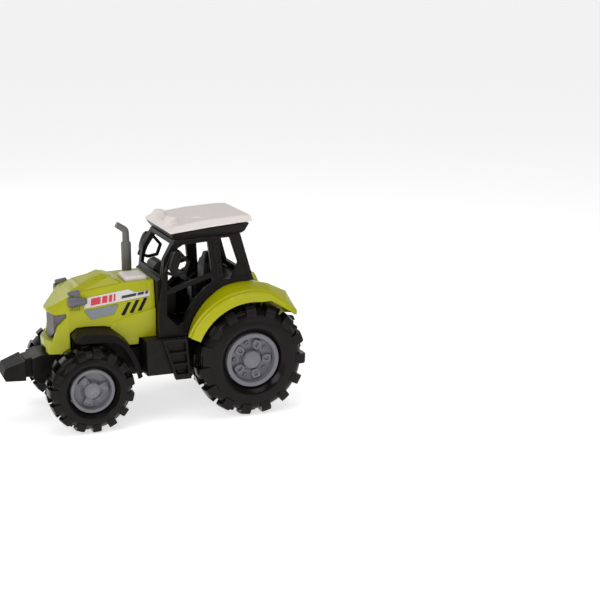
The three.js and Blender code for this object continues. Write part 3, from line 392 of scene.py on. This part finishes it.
def rim_shape(wheel, lip, lip_width, depth, hub, hub_drop):
    """The turned part of a rim: lip, dish and hub outside, and a hollow back."""
    rim, dish, inner = wheel["rim"], lip - depth, wheel["middle"] - wheel["half"]
    flat = rim - lip_width
    outside = [(inner + 1.8, rim), (lip - 0.5, rim), (lip - 0.12, rim - 0.2), (lip, rim - 0.6),
               (lip, flat + 0.5), (lip - 0.15, flat + 0.15), (lip - 0.6, flat), (dish + 1.2, flat - 0.5),
               (dish + 0.3, flat - 0.9), (dish, flat - 1.6), (dish - 0.1, hub + 1.9), (dish - 0.7, hub + 1.4),
               (dish - 0.7, hub + 0.6), (dish + 0.1, hub + 0.25), (lip - hub_drop - 0.7, hub),
               (lip - hub_drop - 0.2, hub - 0.25), (lip - hub_drop, hub - 0.8),
               (lip - hub_drop + 0.15, hub * 0.5), (lip - hub_drop + 0.2, 0.01)]
    inside = [(dish - 1.4, 0.01), (dish - 1.4, wheel["axle"]), (inner - 0.1, wheel["axle"]),
              (inner - 0.1, hub - 1),
              (dish - 2.4, hub - 0.6), (dish - 2.4, rim - lip_width - 1), (inner + 1.8, rim - 1.8)]
    return Shape().lathe_x(outside + inside, 96, (wheel["y"], wheel["radius"]))


def rear_rim(name, mirror):
    """Five pads with oval hollows and five studs round the hub."""
    lip, depth = 45.6, 4.8
    shape = rim_shape(REAR, lip, 3.1, depth, 6.0, 1.0)
    centre, dish = (REAR["y"], REAR["radius"]), lip - depth
    pad = rounded_outline([(-1.7, -3.1), (1.7, -3.1), (3.1, 0.4), (2.4, 3.2), (-2.4, 3.2), (-3.1, 0.4)], 0.8)
    oval = ellipse_like(pad, 1.35, 2.1)
    for k in range(5):
        angle = math.radians(-92 + 72 * k) + math.pi
        rings = disc_rings(pad, [(dish - 0.5, 1.06, 1.06), (dish + 2.0, 1, 1), (dish + 2.4, 0.9, 0.9)],
                           angle, 10.3, centre)
        rings += disc_rings(oval, [(dish + 2.4, 1.1, 1.08), (dish + 2.2, 1, 1), (dish + 1.0, 0.9, 0.92)],
                            angle, 10.4, centre)
        shape.loft(rings)
        stud = [(1.45 * math.cos(j * math.pi / 10), 1.45 * math.sin(j * math.pi / 10)) for j in range(20)]
        levels = [(dish - 0.5, 1.15, 1.15), (dish + 1.2, 1, 1), (dish + 1.5, 0.85, 0.85),
                  (dish + 1.5, 0.55, 0.55), (dish + 0.7, 0.42, 0.42)]
        shape.loft(disc_rings(stud, levels, math.radians(-56 + 72 * k) + math.pi, 11.5, centre))
    obj = rounded(shape.object(name, mirror), 0.16, 2, 32)
    paint(obj, GREY)
    return obj


def front_rim(name, mirror):
    """Three broad short spokes round the hub."""
    lip, depth = 43.2, 4.4
    shape = rim_shape(FRONT, lip, 2.2, depth, 5.2, 0.9)
    centre, dish = (FRONT["y"], FRONT["radius"]), lip - depth
    spoke = rounded_outline([(-2.2, -3.2), (2.2, -3.2), (3.2, 1.6), (2.5, 2.6), (-2.5, 2.6), (-3.2, 1.6)],
                            0.7)
    for k in range(3):
        levels = [(dish - 0.5, 1.08, 1.06), (dish + 2.3, 1.0, 1.0), (dish + 2.7, 0.93, 0.94),
                  (dish + 2.7, 0.78, 0.8), (dish + 2.0, 0.68, 0.72)]
        shape.loft(disc_rings(spoke, levels, math.radians(-79 + 120 * k) + math.pi, 7.6, centre))
    obj = rounded(shape.object(name, mirror), 0.16, 2, 32)
    paint(obj, GREY)
    return obj


for side_name, side in SIDES:
    mirror = side < 0
    for label, wheel, make_rim in (("rear", REAR, rear_rim), ("front", FRONT, front_rim)):
        obj = tyre(f"{label}_tyre_{side_name}_moulded", wheel, mirror)
        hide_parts(f"{label}_tyre_{side_name}")
        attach(obj, f"{label}_wheels")
        obj = make_rim(f"{label}_rim_{side_name}_moulded", mirror)
        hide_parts(f"{label}_rim_{side_name}")
        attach(obj, f"{label}_wheels")


# ---- hood: the CAD shell fused with its side swellings, rear-edge band and chin; the ribs lie on it ----
SIDE_SLOPE, SIDE_TOP_X, SIDE_TOP_Z, SIDE_FOLD_Z = 0.127, 19.5, 92.0, 76.0


def flank_x(z):
    """The hood's flat upper flank, carried on down past the fold."""
    return SIDE_TOP_X + (SIDE_TOP_Z - z) * SIDE_SLOPE


def hood_x(z):
    """How far out the hood's side stands at a height: below the fold it is steeper."""
    return flank_x(max(z, SIDE_FOLD_Z)) + (SIDE_FOLD_Z - min(z, SIDE_FOLD_Z)) * 0.07


def place_on(shape, outline, x_of, low, high):
    """A plate with a (y, z) outline, lying on a surface x_of(z), from low to high above it."""
    return shape.loft([[(x_of(z) + lift, y, z) for y, z in outline] for lift in (low, high)])


def block(shape, x0, x1, y0, y1, z0, z1):
    """A plain box added to a shape."""
    corners = ((y0, z0), (y1, z0), (y1, z1), (y0, z1))
    return shape.loft([[(x, y, z) for y, z in corners] for x in (x0, x1)])


def hood_extras():
    """The swelling under the crease on the hood's side, the band along its rear edge and the chin's top."""
    crease = smooth_line([(0, -34.4, 62.6), (0, -30.8, 66.1), (0, -25.7, 68.7), (0, -17.1, 71.1),
                          (0, -7.3, 73.2), (0, -4.4, 73.8)], 6)
    rings = []
    for point in crease:
        y, z = point.y, point.z
        t = max(0.0, (y + 34.4) / 30)
        lift = 0.6 + 1.7 * t ** 0.7
        foot = max(54.0, 57.5 - 4 * t)
        middle = (z + foot) / 2
        side = hood_x(z)
        rings.append([(side - 1.2, y, z + 0.2), (side + 0.02, y, z + 0.2), (side + lift, y, z - 0.25),
                      (side + lift * 0.98, y, z - 1.4), (hood_x(middle) + lift * 0.55, y, middle),
                      (hood_x(foot) + 0.1, y, foot), (hood_x(foot) - 1.2, y, foot)])
    shape = Shape().loft(rings)
    place_on(shape, [(-7.2, 74.4), (-4.3, 75), (-4.3, 90.8), (-7.2, 90.4)], hood_x, -1.2, 0.45)
    chin = [(-0.2, -74.6), (5, -74.3), (12.9, -70.9), (12.9, -66.5), (-0.2, -66.5)]
    return shape.loft([[(x, y, z) for x, y in chin] for z in (53, 55.5)])


def pod_ribs():
    """Upright ribs in the hood's skin under the lamp pod."""
    shape = Shape()
    for k in range(7):
        y = -60.6 + k * 1.12
        reach = 0.95 - max(0, -57.5 - y) * 0.13
        shape.loft([[(x, y, 75.8), (x, y + 0.5, 75.8), (x, y + 0.5, 79.3), (x, y, 79.3)]
                    for x in (18.6, hood_x(77) + reach)])
    return shape


def moulded(name, source, extras, voxel, passes, keep, adjust=None):
    """A copy of a CAD node and its extras, each a (shape, sides) pair, fused and softened as one moulding."""
    mesh = source.data.copy()
    bm = bmesh.new()
    bm.from_mesh(mesh)
    bmesh.ops.remove_doubles(bm, verts=bm.verts, dist=1e-6)
    if adjust:
        adjust(bm)
    for shape, sides in extras:
        for side in sides:
            base = [bm.verts.new((x * MM * side, y * MM, z * MM)) for x, y, z in shape.verts]
            for face in shape.faces:
                order = face if side > 0 else tuple(reversed(face))
                bm.faces.new([base[i] for i in order])
    bmesh.ops.recalc_face_normals(bm, faces=bm.faces)
    for face in bm.faces:
        face.smooth = True
        face.material_index = 0
    bm.to_mesh(mesh)
    bm.free()
    mesh.name = name
    obj = bpy.data.objects.new(name, mesh)
    bpy.context.scene.collection.objects.link(obj)
    remesh = obj.modifiers.new("skin", "REMESH")
    remesh.mode = "VOXEL"
    remesh.voxel_size = voxel * MM
    remesh.use_smooth_shade = True
    soften = obj.modifiers.new("soften", "SMOOTH")
    soften.factor = 0.5
    soften.iterations = passes
    thin = obj.modifiers.new("thin", "DECIMATE")
    thin.ratio = keep
    return obj


def body_piece(obj, material, slot, *replaced):
    """A painted piece that rides on the tractor's body."""
    paint(obj, material)
    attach(obj, "tractor_body")
    if replaced:
        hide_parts(*replaced)
    return obj


body_piece(moulded("hood_moulded", nodes["hood"], [(hood_extras(), (1, -1))], 0.3, 3, 0.5),
           GREEN, "green_plastic", "hood")


# ---- label motif: plain slanted bars in the label's two colours ----
LABEL_FOOT_Y, LABEL_FOOT_Z, LABEL_RISE = -51.7, 76.6, 0.112


def label_bars(first, widths, gap, above, tall):
    """Slanted bars in a row, a little above the label's lower edge."""
    shape = Shape()
    y = first
    for width in widths:
        foot = LABEL_FOOT_Z + LABEL_RISE * (y - LABEL_FOOT_Y) + above
        rise = LABEL_RISE * width
        place_on(shape, [(y, foot), (y + width, foot + rise), (y + width + 0.5, foot + rise + tall),
                         (y + 0.5, foot + tall)], hood_x, -0.1, 0.42)
        y += width + gap
    return shape


# ---- roof: rounded beacons and a flat oval boss fused with the CAD shell ----
def roof_z(y):
    """The height of the roof's flat top, which rises to the rear."""
    return ROOF_Z + (y - ROOF_Y) * ROOF_RISE


def beacon():
    """The left beacon: each level is (z, half width, half depth, middle y)."""
    levels = [(125, 4.3, 4.6, 9.6), (128.6, 4.3, 4.5, 9.6), (130.2, 4.0, 4.2, 9.7), (131.2, 3.4, 3.5, 9.9),
              (131.8, 2.4, 2.6, 10.0), (132.1, 1.2, 1.4, 10.1)]
    rings = []
    for z, wide, deep, y in levels:
        square = [(-wide, -deep), (wide, -deep), (wide, deep), (-wide, deep)]
        corners = rounded_outline(square, min(wide, deep) * 0.8, 5)
        rings.append([(BEACON_X + u, y + v, z) for u, v in corners])
    return Shape().loft(rings)


def boss():
    """The oval boss, and a disc that fills the place of the plain round hatch."""
    rings = []
    for lift, scale in ((-1.5, 1.0), (0.45, 1.0), (0.8, 0.9)):
        ring = []
        for k in range(40):
            a = k * math.pi / 20
            y = BOSS_Y + 4.6 * scale * math.sin(a)
            ring.append((BOSS_X + 6.8 * scale * math.cos(a), y, BOSS_Z + (y - BOSS_Y) * 0.08 + lift))
        rings.append(ring)
    patch = []
    for lift in (-1.5, 0.02):
        ring = [(5.8 * math.cos(k * math.pi / 16),
                 HATCH_Y + 5.8 * math.sin(k * math.pi / 16)) for k in range(32)]
        patch.append([(x, y, roof_z(y) + lift) for x, y in ring])
    return Shape().loft(rings).loft(patch)


def without_hatch(bm):
    """Lays the plain round hatch level with the roof round it."""
    for vert in bm.verts:
        x, y, z = vert.co / MM
        if abs(x) < HATCH_REACH and abs(y - HATCH_Y) < HATCH_REACH and z > HATCH_Z:
            vert.co.z = roof_z(y) * MM


roof_extras = [(beacon(), (1, -1)), (boss(), (1,))]
body_piece(moulded("roof_moulded", nodes["roof"], roof_extras, 0.36, 4, 0.4, without_hatch),
           WHITE, "white_plastic", "roof")


def slot_painted_shade():
    """Black plates filling the three slanted slots in the hood's side: painted shade for the dark inside of
    the slots.
    """
    shape = Shape()
    for k, y in enumerate((-21.3, -15.7, -10.2)):
        top = 78.4 + k
        outline = [(y - 1.15, top + 0.2), (y + 1.15, top + 0.2), (y - 3.45, top - 7.8), (y - 5.75, top - 7.8)]
        place_on(shape, outline, flank_x, -1.4, 0.22)
    return shape


# ---- rear fenders ----
def towards_axle(point, depth):
    """A (y, z) point moved by a depth towards the rear axle."""
    dy, dz = REAR["y"] - point[0], REAR["radius"] - point[1]
    reach = depth / math.hypot(dy, dz)
    return (point[0] + dy * reach, point[1] + dz * reach)


def fender_stations(steps):
    """The (y, z) of crown, ridge and hem at each station, round the wheel and over the rear knees."""
    stations = []
    for k in range(steps + 1):
        degrees = 66 - 74 * k / steps
        angle = math.radians(degrees)
        droop = 6.4 * max(0, (degrees - 18) / 48)
        radii = (50 - droop, 46.6, 39.6)
        stations.append([(REAR["y"] - r * math.sin(angle),
                          REAR["radius"] + r * math.cos(angle)) for r in radii])
    knees = [[(70.4, 86), (68, 82.8), (67.6, 77.4)], [(83.6, 79.6), (79, 75.4), (77.2, 71.6)],
             [(90.6, 65.4), (87.2, 67.6), (86.1, 66.2)]]
    return stations + knees


def crown_fall(crown):
    """How far the wing's inner edge drops below its crown, behind the axle."""
    return 3.6 * min(1, max(0, (crown[0] - 60.5) / 9))


def fender_row(crown, ridge, hem):
    """The wing's section, from its inner wall out to the hem and back underneath."""
    fall = crown_fall(crown)
    middle = tuple((a + b) / 2 for a, b in zip(towards_axle(crown, -0.2), towards_axle(ridge, -1.0)))
    low = tuple(a * 0.55 + b * 0.45 for a, b in zip(towards_axle(ridge, 1.5), hem))
    points = [(19.6, towards_axle(crown, fall)), (25, towards_axle(crown, fall * 0.35)), (31, crown),
              (37, middle), (42.1, towards_axle(ridge, -0.75)), (42.9, towards_axle(ridge, 0.35)),
              (44.6, towards_axle(ridge, 0.8)), (45.2, towards_axle(ridge, 1.5)), (45.7, low), (46.5, hem),
              (45.2, hem), (43, towards_axle(ridge, 2.6)), (31, towards_axle(crown, 2.2)),
              (19.6, towards_axle(crown, fall + 2.2))]
    return [(x, y, z) for x, (y, z) in points]


def fender(name, mirror):
    """The curved wing over the rear wheel with its inner wall."""
    stations = fender_stations(36)
    shape = Shape().loft([fender_row(*station) for station in stations])
    wall = [towards_axle(crown, crown_fall(crown) + 1) for crown, _, _ in stations]
    wall += [(84.4, 61), (80, 56), (18, 56)]
    shape.loft([[(x, y, z) for y, z in wall] for x in (19.6, 21)])
    return rounded(shape.object(name, mirror), 0.3, 2, 17)


def crown_outline(depth, last):
    """The crown's line at a depth, as far back as the last y."""
    line = [towards_axle(crown, depth) for crown, _, _ in fender_stations(36)]
    return [point for point in line if point[0] < last]


# ---- cab trim: raised frames round the openings, the rail over the fender, hinges, footwell walls ----
CAB_SLOPE = math.tan(math.radians(3))
DOOR = [(2, 97), (1.2, 69.5), (8.2, 62.2), (12.4, 63.6), (16.4, 71), (21, 79.6), (27.6, 86), (33.4, 88.9),
        (30.4, 116.3), (13.4, 115.2), (10.2, 113.4), (4, 104)]
QUARTER = [(40.2, 90.6), (38.4, 118), (45.6, 118.2), (51, 101), (46, 90.6)]


def cab_x(z):
    """How far out the cab's side stands at a height."""
    return 31.3 + (55.3 - z) * CAB_SLOPE


def offset(outline, amount):
    """The outline moved outwards by an even amount."""
    area = sum(a[0] * b[1] - b[0] * a[1] for a, b in zip(outline, outline[1:] + outline[:1]))
    turn = 1 if area > 0 else -1
    line = []
    for before, here, after in zip(outline[-1:] + outline[:-1], outline, outline[1:] + outline[:1]):
        first = (Vector(here) - Vector(before)).normalized()
        second = (Vector(after) - Vector(here)).normalized()
        out = Vector((first.y + second.y, -first.x - second.x)).normalized() * turn
        out *= amount / max(0.5, abs(out.dot(Vector((first.y, -first.x)))))
        line.append((here[0] + out.x, here[1] + out.y))
    return line


def frame_strip(shape, outline, inner, outer, low, high):
    """A raised frame round an opening."""
    return strip(shape, offset(outline, inner), offset(outline, outer), low, high, closed=True)


def strip(shape, first, second, low, high, closed=False):
    """A raised band between two lines on the cab's side."""
    rings = []
    for p, q in zip(first, second):
        rings.append([(cab_x(p[1]) + low, *p), (cab_x(q[1]) + low, *q), (cab_x(q[1]) + high, *q),
                      (cab_x(p[1]) + high, *p)])
    return shape.loft(rings, closed=closed)


def cab_trim():
    """Raised frames, ribs and hinges on the cab's side."""
    shape = Shape()
    frame_strip(shape, DOOR, 0.5, 1.6, -0.4, 0.55)
    frame_strip(shape, QUARTER, 0.5, 1.5, -0.4, 0.45)
    outer = [(14.7, 57.0), (18.8, 67.5), (26.9, 77.7), (36.4, 85.3), (41.2, 88)]
    inner = [(12.6, 59.0), (16.6, 68.6), (25.2, 79.2), (35.2, 86.8), (40.2, 89.6)]
    flat = [[(p.x, p.y) for p in smooth_line([(y, z, 0) for y, z in line], 5)] for line in (outer, inner)]
    strip(shape, flat[0], flat[1], -0.4, 0.7)
    strip(shape, [(47.6, 91.2), (58.6, 91.2), (54.4, 100.5)], [(49.2, 92.2), (57.2, 92.2), (54.0, 98.4)],
          -0.4, 0.4)
    strip(shape, [(36.6, 90.4), (34.9, 104.2), (33.4, 115.8)], [(37.9, 90.4), (36.2, 104.2), (34.7, 115.8)],
          -0.4, 0.6)
    for y, z in ((34.4, 111.6), (36.0, 99.6), (37.0, 92.6)):
        strip(shape, [(y, z), (y, z + 2.2)], [(y + 3.0, z), (y + 3.0, z + 2.2)], -0.4, 0.95)
    strip(shape, [(-3.6, 60), (-2.6, 75), (-0.4, 90), (1.2, 103)],
          [(-2.7, 60), (-1.7, 75), (0.5, 90), (2.1, 103)], -0.4, 0.5)
    return shape


def footwell_wall():
    """A black plate on the inner face of the wheel arch's wall, which darkens the cab's inside there."""
    outline = crown_outline(0.2, 58) + [(58, 58.2), (17, 58.2)]
    return Shape().loft([[(x, y, z) for y, z in outline] for x in (17.4, 19.2)])


# ---- small pieces: stack, steering wheel, seat, mirrors, button, lamp pods, step studs ----
def stack():
    """The exhaust: a narrow foot, a wide pipe and a narrower one with a bent outlet."""
    path = [(0, 88.2), (0, 92.2), (0, 92.3), (0, 92.6), (0, 110.2), (0, 110.8), (0, 111.4), (0, 111.6),
            (0, 117.6),
            (-0.15, 118.5), (-0.6, 119.4), (-1.35, 120.1), (-5.9, 123.15), (-6.3, 123.4), (-6.25, 123.37),
            (-4.9, 122.5)]
    radii = [2.6, 2.6, 3.1, 3.35, 3.4, 3.3, 2.7, 2.35, 2.3, 2.3, 2.3, 2.25, 2.05, 1.9, 1.35, 1.2]
    return Shape().tube([(STACK_X, STACK_Y + dy, z) for dy, z in path], radii, 32)


def steering_wheel():
    """A thick ring with finger grips, a hub and three spokes."""
    tilt = Matrix.Rotation(math.radians(-42), 3, "X")
    centre = Vector((0, 18.7, 90.9))
    shape = Shape()
    rings = []
    for k in range(48):
        a = k * math.pi / 24
        ring = []
        for j in range(16):
            b = j * math.pi / 8
            reach = 7.0 + 1.75 * math.cos(b)
            grip = 1.75 - 0.12 * (1 + math.cos(8 * a)) / 2
            ring.append(tilt @ Vector((reach * math.cos(a), reach * math.sin(a),
                                       grip * math.sin(b))) + centre)
        rings.append(ring)
    shape.loft(rings, closed=True)
    shape.tube([tilt @ Vector((0, 0, z)) + centre for z in (-0.4, 1.2, 1.55, 1.7)], [2.6, 2.6, 2.2, 1.2], 28)
    for degrees in (90, 210, 330):
        a = math.radians(degrees)
        out, side = Vector((math.cos(a), math.sin(a), 0)), Vector((-math.sin(a), math.cos(a), 0))
        rings = []
        for reach, wide, tall in ((1, 1.3, 0.6), (3.6, 1.0, 0.55), (6.6, 1.25, 0.6)):
            ring = []
            for j in range(12):
                b = j * math.pi / 6
                local = out * reach + side * wide * math.cos(b) + Vector((0, 0, 0.2 + tall * math.sin(b)))
                ring.append(tilt @ local + centre)
            rings.append(ring)
        shape.loft(rings)
    return shape


def pillow(shape, levels):
    """A soft block of rounded rings: each level is (z, half width, front y, rear y)."""
    rings = []
    for z, half, front, rear in levels:
        middle, deep = (front + rear) / 2, (rear - front) / 2
        corner = min(half, deep) * 0.7
        outline = rounded_outline([(-half, -deep), (half, -deep), (half, deep), (-half, deep)], corner, 6)
        rings.append([(u, middle + v, z) for u, v in outline])
    return shape.loft(rings)


def seat():
    """A cushion and a back with a head rest, on a post."""
    shape = Shape()
    pillow(shape,
           [(74, 7.2, 26, 35.4), (80, 7.6, 25.6, 35.6), (83.2, 7.9, 25.5, 35.7), (84.4, 7.4, 26.2, 35.6),
                   (84.9, 6, 27.6, 35.2), (84.7, 3, 29, 34)])
    pillow(shape, [(83, 7.6, 33.5, 39.4), (86, 8.0, 33.6, 39.8), (92, 8.3, 34.0, 40.0), (96, 8.2, 34.4, 40.1),
                   (98.6, 7.2, 35.0, 40.3), (99.6, 5.4, 35.6, 40.4), (100.2, 4.8, 35.8, 40.5),
                   (102.4, 4.6, 36.4, 40.6), (103.6, 3.8, 37.0, 40.5), (104, 2.4, 37.6, 40.2)])
    return block(shape, -5, 5, 27, 34.6, 58.3, 75)


def mirror_piece():
    """A rounded mirror head on a flat loop arm."""
    shape = Shape()
    loop = rounded_outline([(-1.2, 98.4), (6.4, 95.6), (13.6, 96.8), (16.6, 104.7), (12.6, 109.6), (9, 113.6),
                            (4.6, 112)], 1.0, 3)
    inner = offset(loop, -2.0)
    shape.loft([[(31.8, *p), (31.8, *q), (33.4, *q), (33.4, *p)] for p, q in zip(loop, inner)], closed=True)
    lean = Matrix.Rotation(math.radians(-20), 3, "X")
    place = Vector((36.8, 5.6, 106.4))
    levels = [(-3.0, 0.28), (-2.9, 0.55), (-2.4, 0.78), (-1.5, 0.93), (-0.3, 1.0), (1.5, 1.0), (1.8, 0.96),
              (1.8, 0.88), (1.35, 0.84)]
    rings = []
    for y, scale in levels:
        ring = []
        for j in range(32):
            a = j * math.pi / 16
            u = math.copysign(abs(math.cos(a)) ** 0.75, math.cos(a)) * 4.6 * scale
            v = math.copysign(abs(math.sin(a)) ** 0.75, math.sin(a)) * 7.4 * scale
            ring.append(lean @ Vector((u, y, v)) + place)
        rings.append(ring)
    shape.loft(rings)
    return shape


def button():
    """The press button: a domed cap, its core and its stem."""
    shape = Shape()
    levels = [(91.0, 0.3), (91.0, 0.98), (91.4, 1.0), (92.6, 1.0), (93.3, 0.975), (93.85, 0.92),
              (94.15, 0.84), (94.25, 0.7), (94.3, 0.4)]
    half_x, half_y = BUTTON_HALF_X, BUTTON_HALF_Y
    corners = rounded_outline([(-half_x, -half_y), (half_x, -half_y), (half_x, half_y), (-half_x, half_y)],
                              2.6, 8)
    rings = []
    for z, scale in levels:
        inset = (1 - scale) * 9
        rings.append([(BUTTON_X + u * (half_x - inset) / half_x, BUTTON_Y + v * (half_y - inset) / half_y, z)
                      for u, v in corners])
    shape.loft(rings)
    block(shape, BUTTON_X - 5, BUTTON_X + 5, BUTTON_Y - 5, BUTTON_Y + 5, 89, 91.6)
    shape.tube([(BUTTON_X, BUTTON_Y, 83.6), (BUTTON_X, BUTTON_Y, 89.5)], [1.2, 1.2], 20)
    return shape


def pod():
    """Lamp pod: a tapered barrel with a small hooded lamp above it, on a short neck."""
    shape = Shape()
    barrel = [(-61.5, 1.8), (-61.6, 2.8), (-61.3, 3.25), (-60.5, 3.45), (-57, 3.3), (-53.6, 2.8),
              (-50.9, 2.3), (-49.9, 2.0), (-49.4, 1.5), (-49.3, 0.9)]
    shape.tube([(22.2, y, 82.0) for y, _ in barrel], [r for _, r in barrel], 32)
    neck = rounded_outline([(18.8, -57.6), (22.0, -57.6), (22.0, -54.2), (18.8, -54.2)], 0.8, 4)
    shape.loft([[(x, y, z) for x, y in neck] for z in (83, 87)])
    top = rounded_outline([(17.6, -61.2), (21.8, -61.2), (21.8, -53.4), (17.6, -53.4)], 0.9, 4)
    lid = rounded_outline([(18.0, -60.7), (21.4, -60.7), (21.4, -53.8), (18.0, -53.8)], 0.8, 4)
    slope = 0.16
    return shape.loft([[(x, y, 86.0 + max(0, -57 - y) * 0.1) for x, y in top],
                       [(x, y, 88.2 + (y + 55) * slope) for x, y in top],
                       [(x, y, 88.9 + (y + 55) * slope) for x, y in lid]])


def ledge_studs():
    """A row of grip studs over the steps, and the plate behind the lowest step."""
    shape = Shape()
    for k in range(7):
        y = -2.4 + k * 2.45
        shape.tube([(35.4, y, z) for z in (54.6, 55.5, 55.8, 55.9)], [0.8, 0.8, 0.62, 0.3], 14)
    return block(shape, 33.4, 34.25, 5.2, 14.7, 29.2, 33.5)


for side_name, side in SIDES:
    mirror = side < 0
    bars = label_bars(-46.6, (6.2, 3.4, 2.0, 1.1), 1.1, 1.4, 4.4)
    body_piece(rounded(bars.object(f"label_bars_red_{side_name}", mirror), 0.06, 2, 40), LABEL_RED,
               "white_plastic")
    bars = label_bars(-26.4, (9.6, 4.2, 1.8), 1.0, 2.0, 1.7)
    body_piece(rounded(bars.object(f"label_bars_black_{side_name}", mirror), 0.06, 2, 40), LABEL_BLACK,
               "black_plastic")
    # Black plates in the hood's slots: painted shade.
    slot_shade_plates = rounded(slot_painted_shade().object(f"hood_slot_painted_shade_{side_name}", mirror), 0.1, 2, 40)
    body_piece(slot_shade_plates, BLACK, "black_plastic")
    body_piece(fender(f"rear_fender_{side_name}_moulded", mirror), GREEN, "green_plastic",
               f"rear_fender_{side_name}")
    trim = rounded(cab_trim().object(f"cab_trim_{side_name}", mirror), 0.2, 2, 30)
    body_piece(trim, BLACK, "black_plastic")
    body_piece(rounded(footwell_wall().object(f"footwell_wall_{side_name}", mirror), 0.3, 2, 40), BLACK,
               "black_plastic")
    body_piece(rounded(mirror_piece().object(f"mirror_{side_name}_moulded", mirror), 0.4, 3, 40), BLACK,
               "black_plastic", f"mirror_{side_name}")
    body_piece(rounded(pod().object(f"headlight_{side_name}_moulded", mirror), 0.3, 2, 40), POD_GREY,
               "grey_plastic", f"headlight_{side_name}")
    body_piece(rounded(pod_ribs().object(f"hood_ribs_{side_name}", mirror), 0.12, 2, 40), GREEN,
               "green_plastic")
    body_piece(ledge_studs().object(f"ladder_studs_{side_name}", mirror), BLACK, "black_plastic")

body_piece(rounded(stack().object("exhaust_stack_moulded"), 0.15, 2, 50), STACK_GREY, "grey_plastic",
           "exhaust_stack")
# The steering wheel's grey finish is a painted highlight over its gloss black.
body_piece(steering_wheel().object("steering_wheel_moulded"), GLOSS_BLACK_PAINTED_HIGHLIGHT, "gloss_black_plastic",
           "steering_wheel")
body_piece(rounded(seat().object("seat_moulded"), 0.3, 2, 50), BLACK, "black_plastic", "seat")
press = rounded(button().object("sound_button_moulded"), 0.2, 2, 50)
paint(press, WHITE)
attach(press, "button")
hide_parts("sound_button")


# ---- stage, lights and camera ----
def area_light(name, place, target, size, power):
    """A soft rectangular white light, aimed at a point."""
    data = bpy.data.lights.new(name, "AREA")
    data.shape = "RECTANGLE"
    data.size, data.size_y = size
    data.energy = power
    light = bpy.data.objects.new(name, data)
    light.location = place
    light.rotation_euler = (Vector(target) - Vector(place)).to_track_quat("-Z", "Y").to_euler()
    bpy.context.scene.collection.objects.link(light)


FLOOR_HALF = 40.0
floor_mesh = bpy.data.meshes.new("floor")
floor_mesh.from_pydata([(-FLOOR_HALF, -FLOOR_HALF, 0), (FLOOR_HALF, -FLOOR_HALF, 0),
                        (FLOOR_HALF, FLOOR_HALF, 0), (-FLOOR_HALF, FLOOR_HALF, 0)], [], [(0, 1, 2, 3)])
floor = bpy.data.objects.new("floor", floor_mesh)
bpy.context.scene.collection.objects.link(floor)
floor_paint = bpy.data.materials.new("floor_paper")
floor_paint.use_nodes = True
for socket, value in (("Base Color", (0.8, 0.8, 0.8, 1)), ("Emission Color", (1, 1, 1, 1)),
                      ("Emission Strength", 0.66), ("Roughness", 0.9), ("Specular IOR Level", 0.1)):
    floor_paint.node_tree.nodes["Principled BSDF"].inputs[socket].default_value = value
floor.data.materials.append(floor_paint)

world = bpy.data.worlds.new("studio")
world.use_nodes = True
sky = world.node_tree
direction = sky.nodes.new("ShaderNodeTexCoord").outputs["Generated"]
parts = sky.nodes.new("ShaderNodeSeparateXYZ")
sky.links.new(direction, parts.inputs[0])
fade = sky.nodes.new("ShaderNodeMapRange")
for socket, value in (("From Min", 0.22), ("From Max", 0.5), ("To Min", 0.72), ("To Max", 0.2)):
    fade.inputs[socket].default_value = value
sky.links.new(parts.outputs["Z"], fade.inputs["Value"])
sky.links.new(fade.outputs["Result"], sky.nodes["Background"].inputs["Strength"])
sky.nodes["Background"].inputs["Color"].default_value = (1, 1, 1, 1)
bpy.context.scene.world = world
area_light("key", (0.55, -0.75, 0.75), (0, 0, 0.06), (0.5, 0.5), 2.5)
area_light("glint", (0.75, -0.35, 0.42), (0.04, 0.03, 0.05), (0.1, 0.16), 0.35)
area_light("back", (-0.9, -0.3, 0.42), (0, 0, 0.05), (0.5, 0.2), 0.4)
area_light("top", (0.1, 0.1, 1.0), (0, 0, 0.05), (0.8, 0.8), 3.3)
area_light("side", (1.0, 0.5, 0.35), (0, 0, 0.05), (0.5, 0.4), 0.35)

CAMERA_AT, LENS = (825.3, -225.2, 279.1), 78.3036
YAW, PITCH, ROLL = math.radians(21.896), math.radians(13.587), math.radians(0.167)
forward = Vector((-math.cos(YAW) * math.cos(PITCH), math.sin(YAW) * math.cos(PITCH), -math.sin(PITCH)))
right = forward.cross(Vector((0, 0, 1))).normalized()
up = right.cross(forward)
camera_data = bpy.data.cameras.new("camera")
camera_data.sensor_width = 36
camera_data.lens = LENS
camera_data.clip_start = 0.01
camera_data.clip_end = 100
camera = bpy.data.objects.new("camera", camera_data)
turn_to = Matrix((right, up, -forward)).transposed()
camera.matrix_world = (Matrix.Translation(Vector(CAMERA_AT) * MM)
                       @ turn_to.to_4x4() @ Matrix.Rotation(ROLL, 4, "Z"))
bpy.context.scene.collection.objects.link(camera)
bpy.context.scene.camera = camera
bpy.context.scene.view_settings.view_transform = "Standard"
